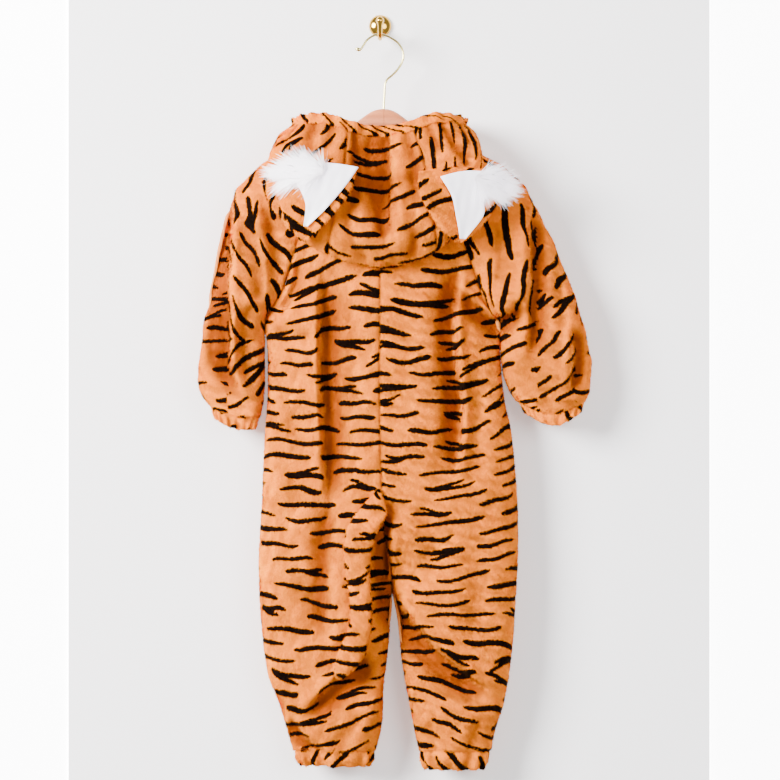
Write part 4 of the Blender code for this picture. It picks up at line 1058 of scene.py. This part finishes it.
def turnPattern(piece, side, offset):
    # the pattern turns as a whole on each side of a fold, so every face takes the angle of its own stretch
    mesh = piece.data
    count = len(mesh.polygons)
    centres = np.empty(count * 3)
    mesh.polygons.foreach_get("center", centres)
    centres = centres.reshape(-1, 3) * 1000
    sizes = np.empty(count, dtype=np.int32)
    mesh.polygons.foreach_get("loop_total", sizes)
    angle = np.radians(sleeveAngles(side, centres[:, 0], -centres[:, 2], centres[:, 1] < hangY))
    angle = np.repeat(angle, sizes)
    uv = np.empty(len(mesh.loops) * 2, dtype=np.float32)
    layer = mesh.uv_layers["cloth"]
    layer.uv.foreach_get("vector", uv)
    uv = uv.reshape(-1, 2) - np.array([0, 0.35])
    # the length round the sleeve grows away from the back seam, which is leftwards on the left sleeve
    turned = rotated(uv * np.array([side, 1]), angle)
    turned = turned + np.array(offset) + angle[:, None] * 3.7
    layer.uv.foreach_set("vector", turned.astype(np.float32).ravel())


for side, offset in ((left, (20.4, 8.15)), (right, (27.9, 9.3))):
    node = "sleeve_" + word(side)
    cloths[node] = sleevePanel(word(side) + "_sleeve", node, side, offset)
print("sleeves ready")

# Gathered casings of cuffs and ankles.
casingValues = {
    "cuff": {"columns": 190, "waves": {left: 17, right: 17}, "swing": (0.3, 1.3, 1.6),
             "offset": {left: (31.2, 3.3), right: (33.4, 2.2)}},
    "ankle": {"columns": 200, "waves": {left: 13, right: 12}, "swing": (0.3, 1.6, 1.7),
              "offset": {left: (35.1, 6.3), right: (37.7, 7.2)}},
}


def casing(name, node, rings, waves, swing, offset):
    fine = through(np.arange(len(rings)), rings, np.linspace(0, len(rings) - 1, 8))
    swings = np.interp(np.linspace(0, 2, 8), [0, 1, 2], swing)
    points = gatherRings(fine, waves, swings)
    centre = points.mean(axis=1, keepdims=True)
    outward = unit(inMetres(points - centre))
    step = np.linalg.norm(points - np.roll(points, 1, axis=1), axis=2).mean(axis=0)
    u = np.concatenate([[0], np.cumsum(step)])
    v = points[:, :, 2].mean(axis=1)
    # the strokes cross the narrow band at a slant
    u, v = np.broadcast_arrays(u[None, :], v[:, None])
    uv = np.stack([0.64 * u + 0.77 * v, 0.64 * v - 0.77 * u], axis=-1) / 1000 + np.array(offset)
    piece = clothShell(name, points, uv, outward, [plush, backing], ring=True)
    return dressed(piece, node)


def cuffRings(side, columns):
    # the first ring reaches 5 mm up inside the sleeve
    table = cuffTable[side]
    around = np.arange(columns) / columns
    rings = []
    for i, (reach, slim) in enumerate(((5, 2.8), (0, 0), (0, 0))):
        rings.append(sleeveSection(table["inner_x"][i], table["inner_drop"][i] - reach, table["outer_x"][i],
                                   table["outer_drop"][i] - reach, table["depth"][i] - slim, table["sag"][i],
                                   0.0, around))
    return np.array(rings)


def ankleRings(side, columns):
    # drop that the leg is read at, width, depth and the ring's own drop
    bottom = 935 if side == left else 939
    rings = ((917.5, 0.94, 0.88, 911), (920, 0.95, 0.9, 926), (922, 0.84, 0.74, bottom))
    return np.array([legRing(side, drop, narrow, depth, columns, low) for drop, narrow, depth, low in rings])


for kind, ringsOf in (("cuff", cuffRings), ("ankle", ankleRings)):
    values = casingValues[kind]
    for side in (left, right):
        node = kind + "_" + word(side)
        rings = ringsOf(side, values["columns"])
        waves, offset = values["waves"][side], values["offset"][side]
        cloths[node] = casing(word(side) + "_" + kind, node, rings, waves, values["swing"], offset)
print("casings ready")

# The hood: two side panels, a gusset between them and the gathered face edge.
hoodValues = {"rows": 84, "side": 54, "gusset": 40}


def hoodSpots(table, station, along):
    # the sum of soft spots along paths that are given in stations and line points
    total = 0 * station
    for path, depth, width in table:
        nearest = pathDistance(path, station, along)[0]
        total = total + depth * np.exp(-(nearest / width) ** 2)
    return total


def hoodPanel(name, node, first, last, columns, turned, offset):
    stations = np.linspace(first, last, columns)
    points = hoodGrid(stations, hoodValues["rows"])
    normal = gridNormals(points)
    lowest = hoodValues["rows"] * 3 // 5
    if node == "hood_centre":
        probe = columns // 2
    else:
        probe = -10 if first < gussetFirst else 10
    normal = normal * -np.sign(normal[lowest, probe, 1])
    station, along = np.broadcast_arrays(stations[None, :], np.linspace(0, 5, hoodValues["rows"])[:, None])
    length = arcs(points, 1)
    height = arcs(points, 0)
    # the print is measured from the crown fold, so that its strokes meet there
    crown = hoodValues["rows"] * 2 // 5
    height = height - height[crown:crown + 1]
    edges = []
    if first > 0:
        edges.append(length)
    if last < hoodEnd:
        edges.append(length[:, -1:] - length)
    seamNear = np.minimum.reduce(edges)
    outside = fade(along, 1.6, 2.6)
    waves = ripples(length, height, 44, 0.8, 31) * fade(seamNear, 0, 20)
    relief = hoodSpots(hoodCreases, station, along) * outside + waves
    outer = points - normal * sinkOf(seamNear, relief, 1.9)[..., None]
    if node == "hood_centre":
        middle = length[lowest].mean()
    else:
        middle = length[lowest, -1] if first < gussetFirst else 0
    flat = np.stack([length - middle, height], axis=-1)
    flat = rotated(flat, math.radians(turned))
    # painted shade from the hood's relief, its seams and its shade spots
    shade = np.clip(shadeOf(1.9 * relief * outside, seamNear) + hoodSpots(hoodPaintedShade, station, along), 0, 1)
    seamBefore, seamAfter = first > 0, last < hoodEnd
    outer, flat, paintedShade = addAllowance(outer, normal, flat, shade, seamBefore, seamAfter)
    rough = np.concatenate([normal[:, :1]] * seamBefore + [normal] + [normal[:, -1:]] * seamAfter, axis=1)
    piece = clothShell(name, outer, flat / 1000 + np.array(offset), inMetres(rough), [plush, backing], paintedShade)
    return dressed(piece, node)


# name, node, first and last station, columns, turn of the print in degrees and its place
for name, node, first, last, columns, turned, offset in (
    ("hood_left_side", "hood_side_left", 0, gussetFirst, hoodValues["side"], 76, (41.0, 4.1)),
    ("hood_gusset", "hood_centre", gussetFirst, gussetLast, hoodValues["gusset"], 0, (45.6, 5.5)),
    ("hood_right_side", "hood_side_right", gussetLast, hoodEnd, hoodValues["side"], -76, (49.3, 6.8)),
):
    cloths[node] = hoodPanel(name, node, first, last, columns, turned, offset)
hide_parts("hood_under_left")
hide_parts("hood_under_right")

edgeGrid = hoodGrid(np.linspace(0, hoodEnd, 200), 60)
edgeRows = hoodEdgeRows(edgeGrid[-1], edgeGrid[-2], 460, 27)
edgeFine = through(np.arange(3), edgeRows, np.linspace(0, 2, 8))
edgeNormal = gridNormals(edgeFine)
edgeNormal = edgeNormal * np.sign(-(edgeNormal[:, 190:270, 1]).sum())
edgeAlong, edgeRise = arcs(edgeFine, 1), arcs(edgeFine, 0)
edgeUv = np.stack([0.26 * edgeAlong + 0.97 * edgeRise, 0.26 * edgeRise - 0.97 * edgeAlong], axis=-1)
edgeUv = edgeUv / 1000 + np.array((55.5, 3.9))
edgePoints = edgeFine - edgeNormal * 1.2
faceEdge = clothShell("hood_face_edge", edgePoints, edgeUv, inMetres(edgeNormal), [plush, backing])
cloths["hood_edge"] = dressed(faceEdge, "hood_edge")
print("hood ready")

# Ears: a plush shell, a satin lining on it and long white fur at the root.
earValues = {"rows": 34, "columns": 40, "printTurn": 0.55}
earLayers = {
    "shell":  {"lift": 5.4, "cup": 4.0, "bulge": 6, "rim": (1.4, 3.0), "ripple": (34, 0.5, 51),
               "stretch": (1, 1)},
    "lining": {"lift": 7.9, "cup": 2.0, "bulge": 5, "rim": (0.9, 2.0), "ripple": (16, 0.35, 61),
               "stretch": (1.6, 0.5)},
}


def earSheet(edges, face, rows, columns, cup, bulge):
    keys = np.linspace(0, 1, len(edges[0]))
    down = np.linspace(0, 1, rows)
    start = through(keys, np.array(edges[0], float), down)[:, None, :]
    end = through(keys, np.array(edges[1], float), down)[:, None, :]
    across = np.linspace(0, 1, columns)[None, :, None]
    flat = start + (end - start) * across
    x = flat[..., 0]
    drop = flat[..., 1] - bulge * np.sin(math.pi * across[..., 0]) * (1 - down[:, None])
    dish = cup * (1 - np.abs(2 * across[..., 0] - 1) ** 2)
    return np.stack([x, face(x, drop) + dish, drop], axis=-1)


def earLayer(side, kind, bed):
    table, values = earTable[side], earLayers[kind]
    edges = (table[kind + "_left"], table[kind + "_right"])
    points = earSheet(edges, lambda x, drop: bed(x, drop) - values["lift"], earValues["rows"],
                      earValues["columns"], values["cup"], values["bulge"])
    length = arcs(points, 1)
    edge = np.minimum(length, length[:, -1:] - length)
    rise, width = values["rim"]
    size, height, seed = values["ripple"]
    wide, tall = values["stretch"]
    relief = ripples(points[..., 0] * wide, points[..., 2] * tall, size, height, seed + side)
    points[..., 1] += rise * np.exp(-(edge / width) ** 2) + relief
    return points


def earPieces(side):
    bed = earBed(side)
    outward = np.array([0, -1.0, 0])
    shell = earLayer(side, "shell", bed)
    uv = rotated(shell[..., (0, 2)], earValues["printTurn"] * side) / 1000 + np.array((60 + side, 3.3))
    ear = clothShell(word(side) + "_ear", shell, uv, outward, [plush, backing], wall=1.6)
    dressed(ear, "ear_" + word(side))
    lining = earLayer(side, "lining", bed)
    uv = lining[..., (0, 2)] / 1000
    satinPiece = clothShell(word(side) + "_ear_lining", lining, uv, outward, [satin, satin], wall=0.8)
    dressed(satinPiece, "ear_lining_" + word(side))
    return ear, satinPiece, bed


furValues = {"locks": 26, "steps": 5, "length": (11, 27), "halfWidth": 0.42, "tipWidth": 0.05, "curl": 2.0}


def furTuft(side, bed):
    # strands that narrow to their tips, fanned out in uneven locks from the root of the ear
    table = earTable[side]["fur"]
    pick = np.random.default_rng(71 + side)
    count = table["count"]
    spin = pick.uniform(0, 2 * math.pi, count)
    far = np.sqrt(pick.uniform(0, 1, count))
    x = table["centre"][0] + table["half"][0] * far * np.cos(spin) * 0.92
    rise = table["half"][1] * far * np.sin(spin) * 0.85
    drop = table["centre"][1] + rise + table["lean"] * (x - table["centre"][0])
    root = np.stack([x, bed(x, drop) - 8.2, drop], axis=-1)
    locks, steps = furValues["locks"], furValues["steps"]
    lockSpot = np.stack([pick.uniform(-1, 1, locks) * table["half"][0] + table["centre"][0],
                         pick.uniform(-1, 1, locks) * table["half"][1] + table["centre"][1]], axis=-1)
    lockWay = pick.normal(size=(locks, 3)) * np.array([0.5, 0.3, 0.55])
    owner = np.argmin(((root[:, None, (0, 2)] - lockSpot[None]) ** 2).sum(axis=2), axis=1)
    outwards = np.stack([np.cos(spin) * far, 0 * far, np.sin(spin) * far], axis=-1)
    flow = np.array([table["flow"][0], -0.35, -table["flow"][1]])
    way = unit(outwards * 0.42 + flow * 0.85 + lockWay[owner] * 0.42 + pick.normal(size=(count, 3)) * 0.16)
    way[:, 1] = -np.abs(way[:, 1]) * 0.6
    length = pick.uniform(*furValues["length"], count) * (0.7 + 0.5 * far)
    share = np.linspace(0, 1, steps)[None, :, None]
    curl = unit(np.cross(way, np.array([0, 1.0, 0]))) * pick.normal(size=(count, 1)) * furValues["curl"]
    sag = np.array([0, 1.5, 3.5])
    spine = root[:, None] + way[:, None] * length[:, None, None] * share + (curl[:, None] + sag) * share**2
    width = furValues["halfWidth"] * (1 - share**1.5) + furValues["tipWidth"]
    sideways = unit(np.cross(way, np.array([0, 1.0, 0])) + pick.normal(size=(count, 3)) * 0.5)[:, None]
    ribbon = np.stack([spine - sideways * width, spine + sideways * width], axis=2)
    vertices = inMetres(ribbon.reshape(-1, 3))
    base = (np.arange(count) * steps * 2)[:, None, None]
    strip = np.array([[2 * k, 2 * k + 1, 2 * k + 3, 2 * k + 2] for k in range(steps - 1)])[None]
    fur = newPiece(word(side) + "_ear_fur", vertices, (base + strip).reshape(-1, 4).tolist(), [whiteFur])
    setValues(fur.data, "tip", np.tile(np.repeat(np.linspace(0, 1, steps), 2), count))
    shade = np.repeat(unit(np.array([0, -1.0, 0.35]) + 0.5 * (way * np.array([1, 1, -1]))), steps * 2, axis=0)
    fur.data.normals_split_custom_set_from_vertices(shade.tolist())
    return dressed(fur, "ear_fur_" + word(side))


ears = {}
for side in (left, right):
    ear, lining, bed = earPieces(side)
    fur = furTuft(side, bed)
    ears[side] = (ear, lining, fur)
print("ears ready")

# Tail and the strip over the front opening.
def tailPiece():
    drops = np.array(tailTable["drop"], float)
    fine = np.concatenate([np.linspace(drops[0], 604, 10)[:-1], np.linspace(604, 806, 74)[:-1],
                           np.linspace(806, drops[-1], 12)])
    read = {key: through(drops, tailTable[key], fine) for key in ("x", "half_width", "half_depth")}
    sides, girth = 44, 92
    turn = 2 * math.pi * np.arange(sides) / sides
    wide = np.sign(np.cos(turn)) * np.abs(np.cos(turn)) ** 0.9
    thick = np.sign(np.sin(turn)) * np.abs(np.sin(turn)) ** 0.8
    x = read["x"][:, None] + np.maximum(read["half_width"] - 1.6, 1.0)[:, None] * wide
    depth = read["half_depth"][:, None]
    y = -74.3 - depth + np.maximum(depth - 1.4, 0.6) * thick
    y = y + ripples(x, fine[:, None] + 0 * x, 30, 0.7, 81) * (thick < 0)
    points = np.stack([x, y, fine[:, None] + 0 * x], axis=-1)
    outward = unit(inMetres(points - points.mean(axis=1, keepdims=True)))
    columns = sides + 1
    around = np.linspace(0, 1, columns) * girth
    flat = np.stack(np.broadcast_arrays(around[None, :], fine[:, None] + 0.0), axis=-1)
    faces = gridFaces(len(fine), columns, False)
    closedPoints = np.concatenate([points, points[:, :1]], axis=1)
    metres = inMetres(closedPoints)
    normal = np.cross(np.gradient(metres, axis=1), np.gradient(metres, axis=0))
    if (normal[:, :-1] * outward).sum() < 0:
        faces = [face[::-1] for face in faces]
    uv = flat.reshape(-1, 2) / 1000 + np.array((64.2, 1.5))
    piece = newPiece("stuffed_tail", metres.reshape(-1, 3), faces, [plush, backing], uv)
    closeRing(piece)
    applyModifiers(piece)
    shape = bmesh.new()
    shape.from_mesh(piece.data)
    bmesh.ops.holes_fill(shape, edges=[edge for edge in shape.edges if edge.is_boundary])
    bmesh.ops.recalc_face_normals(shape, faces=shape.faces)
    shape.to_mesh(piece.data)
    shape.free()
    dressed(piece, "tail")
    return piece


def placketPiece():
    rows, columns = 100, 16
    drop = np.linspace(190, 520, rows)
    x = np.linspace(-14, 18, columns)
    points = np.zeros((rows, columns, 3))
    across = np.linspace(0, 0.4, 41)
    for i, d in enumerate(drop):
        halves = [bodyPoints(side, "front", across, d + 0 * across) for side in (left, right)]
        line = np.concatenate([halves[0][::-1], halves[1][1:]])
        points[i, :, 0] = x
        points[i, :, 1] = np.interp(x, line[:, 0], line[:, 1]) + 2.3
        points[i, :, 2] = d
    edge = np.minimum(np.minimum(x + 14, 18 - x)[None, :], np.minimum(drop - 190, 520 - drop)[:, None])
    points[..., 1] -= 1.3 * np.exp(-(edge / 1.8) ** 2)
    uv = points[..., (0, 2)] / 1000 + np.array((68.3, 2.6))
    piece = clothShell("front_closing_strip", points, uv, np.array([0, 1.0, 0]), [plush, backing])
    return dressed(piece, "front_placket")


tail = tailPiece()
placket = placketPiece()
print("tail ready")

# Hanger and wall hook.
def deselect():
    bpy.ops.object.select_all(action="DESELECT")


def sweptPiece(name, path, sections, turnAxis, sides, material, turning=True):
    # a disc at the first point, extruded from point to point, turned and sized on the way
    path = [np.array(point, float) for point in path]
    deselect()
    along = np.array([0, 1.0, 0]) if turnAxis == "X" else np.array([1.0, 0, 0])
    rotation = (math.pi / 2, 0, 0) if turnAxis == "X" else (0, math.pi / 2, 0)
    bpy.ops.mesh.primitive_circle_add(vertices=sides, radius=0.001, fill_type="NGON",
                                      location=path[0].tolist(), rotation=rotation)
    piece = bpy.context.object
    piece.name = name
    bpy.ops.object.transform_apply(location=True, rotation=True, scale=True)
    bpy.ops.object.mode_set(mode="EDIT")
    bpy.ops.mesh.select_all(action="SELECT")
    axis = {"X": np.array([1.0, 0, 0]), "Y": np.array([0, 1.0, 0])}[turnAxis]
    last = along if turning else None
    size = (1.0, 1.0)
    for i, (point, section) in enumerate(zip(path, sections)):
        if i:
            bpy.ops.mesh.extrude_region_move(TRANSFORM_OT_translate={"value": (point - path[i - 1]).tolist()})
        if turning:
            way = unit(path[min(i + 1, len(path) - 1)] - path[max(i - 1, 0)])
            cross = float(np.dot(np.cross(last, way), axis))
            angle = math.atan2(cross, float(np.dot(last, way)))
            if abs(angle) > 1e-5:
                bpy.ops.transform.rotate(value=-angle, orient_axis=turnAxis, center_override=point.tolist())
            last = way
            grow = section[0] / size[0]
            bpy.ops.transform.resize(value=(grow, grow, grow), center_override=point.tolist())
        else:
            bpy.ops.transform.resize(value=(1, section[0] / size[0], section[1] / size[1]),
                                     center_override=point.tolist())
        size = section
    bpy.ops.mesh.select_all(action="SELECT")
    bpy.ops.mesh.normals_make_consistent(inside=False)
    bpy.ops.object.mode_set(mode="OBJECT")
    piece.data.materials.append(material)
    return piece


def smoothHard(piece, degrees=40):
    deselect()
    piece.select_set(True)
    bpy.context.view_layer.objects.active = piece
    bpy.ops.object.shade_smooth_by_angle(angle=math.radians(degrees))


def along(table, keys, count):
    # evenly spaced readings along a table's own path
    spots = np.array([table[key] for key in keys], float).T
    steps = np.concatenate([[0], np.cumsum(np.linalg.norm(np.diff(spots[:, :2], axis=0), axis=1))])
    return through(steps, spots, np.linspace(0, steps[-1], count))


woodX = np.concatenate([np.linspace(-156, -146, 6), np.linspace(-142, 4.2, 36), [4.75, 5.0, 5.25],
                        np.linspace(5.8, 150, 36), np.linspace(152, 160, 6)])
woodRead = {key: through(woodTable["x"], woodTable[key], woodX)
            for key in ("drop", "half_height", "half_thick")}
groove = np.where(np.abs(woodX - 5.0) < 0.1, 0.93, 1.0)
woodPath = [(x / 1000, hangY / 1000, -d / 1000) for x, d in zip(woodX, woodRead["drop"])]
woodSections = [(t * g, h * g) for t, h, g in zip(woodRead["half_thick"], woodRead["half_height"], groove)]
wood = sweptPiece("wooden_hanger", woodPath, woodSections, "Y", 24, beech, turning=False)
smoothHard(wood, 50)
dressed(wood, "hanger_wood")

wireRead = along(wireTable, ("x", "drop"), 92)
tipBall = np.interp(np.arange(92), [0, 1, 2, 3, 4, 5, 91], [0.9, 2.0, 2.6, 2.6, 2.0, 1.5, 1.5])
wirePath = [(x / 1000, hangY / 1000, -d / 1000) for x, d in wireRead]
wire = sweptPiece("wire_hook", wirePath, [(r, r) for r in tipBall], "Y", 16, paleBrass)
smoothHard(wire, 60)
dressed(wire, "hanger_hook")

# radius and y of the wall plate, from the wall outwards
plateProfile = [(14.2, 0.0), (14.2, -1.6), (13.9, -2.3), (13.2, -3.4), (12.0, -4.7), (10.2, -5.9),
                (7.9, -7.0), (5.2, -7.8), (2.4, -8.2), (0.5, -8.3)]
deselect()
bpy.ops.mesh.primitive_circle_add(vertices=64, radius=0.0142, fill_type="NGON", location=(0, 0, 0),
                                  rotation=(math.pi / 2, 0, 0))
plate = bpy.context.object
plate.name = "wall_hook"
bpy.ops.object.transform_apply(location=True, rotation=True, scale=True)
bpy.ops.object.mode_set(mode="EDIT")
bpy.ops.mesh.select_all(action="SELECT")
for (r0, y0), (r1, y1) in zip(plateProfile[:-1], plateProfile[1:]):
    bpy.ops.mesh.extrude_region_move(TRANSFORM_OT_translate={"value": (0, (y1 - y0) / 1000, 0)})
    bpy.ops.transform.resize(value=(r1 / r0, 1, r1 / r0), center_override=(0, y1 / 1000, 0))
bpy.ops.mesh.select_all(action="SELECT")
bpy.ops.mesh.normals_make_consistent(inside=False)
bpy.ops.object.mode_set(mode="OBJECT")
plate.data.materials.append(brass)
armRead = along(armTable, ("y", "drop", "radius"), 60)
armPath = [(0, y / 1000, -d / 1000) for y, d, r in armRead]
arm = sweptPiece("arm", armPath, [(r, r) for y, d, r in armRead], "X", 20, brass)
union = plate.modifiers.new("arm", "BOOLEAN")
union.operation = "UNION"
union.solver = "EXACT"
union.object = arm
applyModifiers(plate)
bpy.data.objects.remove(arm, do_unlink=True)
smoothHard(plate, 35)
dressed(plate, "wall_hook")
print("hanger ready")

# Pile on every plush piece: denser where the costume is seen from, thinner where cloth lies on cloth.
def backShare(centres, normals):
    behindHood = (centres[:, 2] < 275) & (np.abs(centres[:, 0]) < 95)
    return np.where(behindHood, 0.15, 1.0)


def sleeveShare(centres, normals):
    return np.where(centres[:, 1] < hangY, 1.0, 0.4)


def hoodShare(centres, normals):
    return np.where(normals[:, 1] < 0.25, 1.0, 0.12)


def earShare(centres, normals):
    return np.where(normals[:, 1] < 0.3, 1.0, 0.2)


def tailShare(centres, normals):
    return np.where(normals[:, 1] < 0.4, 1.0, 0.2)


def bothSides(kinds):
    return [kind + "_" + word(side) for kind in kinds for side in (left, right)]


# Tufts on a square centimetre, their length in millimetres and where they thin out.
pileValues = {
    "back": (108, 2.8, backShare),
    "front": (30, 3.6, None),
    "sleeve": (112, 2.8, sleeveShare),
    "cuff": (85, 2.6, sleeveShare),
    "ankle": (85, 2.6, sleeveShare),
    "hood_side": (120, 2.8, hoodShare),
    "hood_centre": (120, 2.8, hoodShare),
    "hood_edge": (90, 2.6, None),
}
clothKinds = {node: node.removesuffix("_left").removesuffix("_right")
              for node in bothSides(["back", "front", "sleeve", "cuff", "ankle", "hood_side"])
              + ["hood_centre", "hood_edge"]}
for number, (node, kind) in enumerate(clothKinds.items()):
    density, height, keep = pileValues[kind]
    pileOn(cloths[node], density, height, 100 + 7 * number, keep)
earPiles = {side: pileOn(ears[side][0], 85, 3.0, 300 + side, earShare) for side in (left, right)}
pileOn(tail, 105, 3.0, 400, tailShare)
placketPile = pileOn(placket, 36, 2.6, 500)


for side in (left, right):
    ear, lining, fur = ears[side]

# Stage: a pale wall with white at its sides, and soft light from the front. Metres from here on.
stageValues = {"wallLeft": -0.3975, "wallRight": 0.42, "whiteReach": 2.5, "middle": -0.46, "tall": 4.0}
lampValues = {
    "large soft key": {"place": (-2.3, -2.1, 0.5), "size": 1.6, "power": 500},
    "soft fill": {"place": (1.4, -2.9, 0.1), "size": 1.8, "power": 80},
}
# the picture is 0.975 m wide at 3 m, on a sensor of 36 mm
cameraValues = {"place": (0.0125, -3.06, -0.46375), "lens": 36 * 3.0 / 0.975}


def wallMaterial(name, colour, lit):
    # matt paint, very slightly uneven; the white beside the wall is lit up as in a studio
    material, tree, shader = newMaterial(name)
    place = addNode(tree, "ShaderNodeTexCoord").outputs[3]
    cloud = addNode(tree, "ShaderNodeTexNoise", (place, None, 3.0, 2.0, 0.5)).outputs[0]
    full = linear(colour)
    dim = tuple(channel * 0.985 for channel in full[:3]) + (1,)
    tree.links.new(colourRamp(tree, cloud, (0, dim), (1, full)), shader.inputs["Base Color"])
    setFinish(shader, {"Roughness": 0.95, "Emission Color": (1, 1, 1, 1), "Emission Strength": lit})
    return material


def wallSheet(name, x0, x1, y, colour, lit):
    deselect()
    place = ((x0 + x1) / 2, y, stageValues["middle"])
    bpy.ops.mesh.primitive_plane_add(size=1, location=place, rotation=(math.pi / 2, 0, 0))
    sheet = bpy.context.object
    sheet.name = name
    sheet.scale = (x1 - x0, stageValues["tall"], 1)
    bpy.ops.object.transform_apply(location=True, rotation=True, scale=True)
    sheet.data.materials.append(wallMaterial(name + " paint", colour, lit))
    return sheet


wallSheet("pale wall", stageValues["wallLeft"], stageValues["wallRight"], 0.0006, "F8F5F6", 0.44)
reach = stageValues["whiteReach"]
wallSheet("white beside the wall", -reach, reach, 0.004, "FFFFFF", 8.0)


def areaLight(name, place, aim, size, power):
    data = bpy.data.lights.new(name, "AREA")
    data.shape = "DISK"
    data.size = size
    data.energy = power
    lamp = bpy.data.objects.new(name, data)
    bpy.context.collection.objects.link(lamp)
    way = Vector(aim) - Vector(place)
    lamp.rotation_euler = way.to_track_quat("-Z", "Y").to_euler()
    lamp.location = place
    return lamp


for name, values in lampValues.items():
    areaLight(name, values["place"], (0.01, 0, stageValues["middle"]), values["size"], values["power"])
world = bpy.data.worlds.new("even room light")
bpy.context.scene.world = world
world.use_nodes = True
background = world.node_tree.nodes["Background"]
background.inputs["Color"].default_value = (1, 1, 1, 1)
background.inputs["Strength"].default_value = 0.5

camera = bpy.data.objects.new("camera", bpy.data.cameras.new("camera"))
bpy.context.collection.objects.link(camera)
camera.location = cameraValues["place"]
camera.rotation_euler = (math.pi / 2, 0, 0)
camera.data.lens = cameraValues["lens"]
camera.data.clip_end = 20
bpy.context.scene.camera = camera
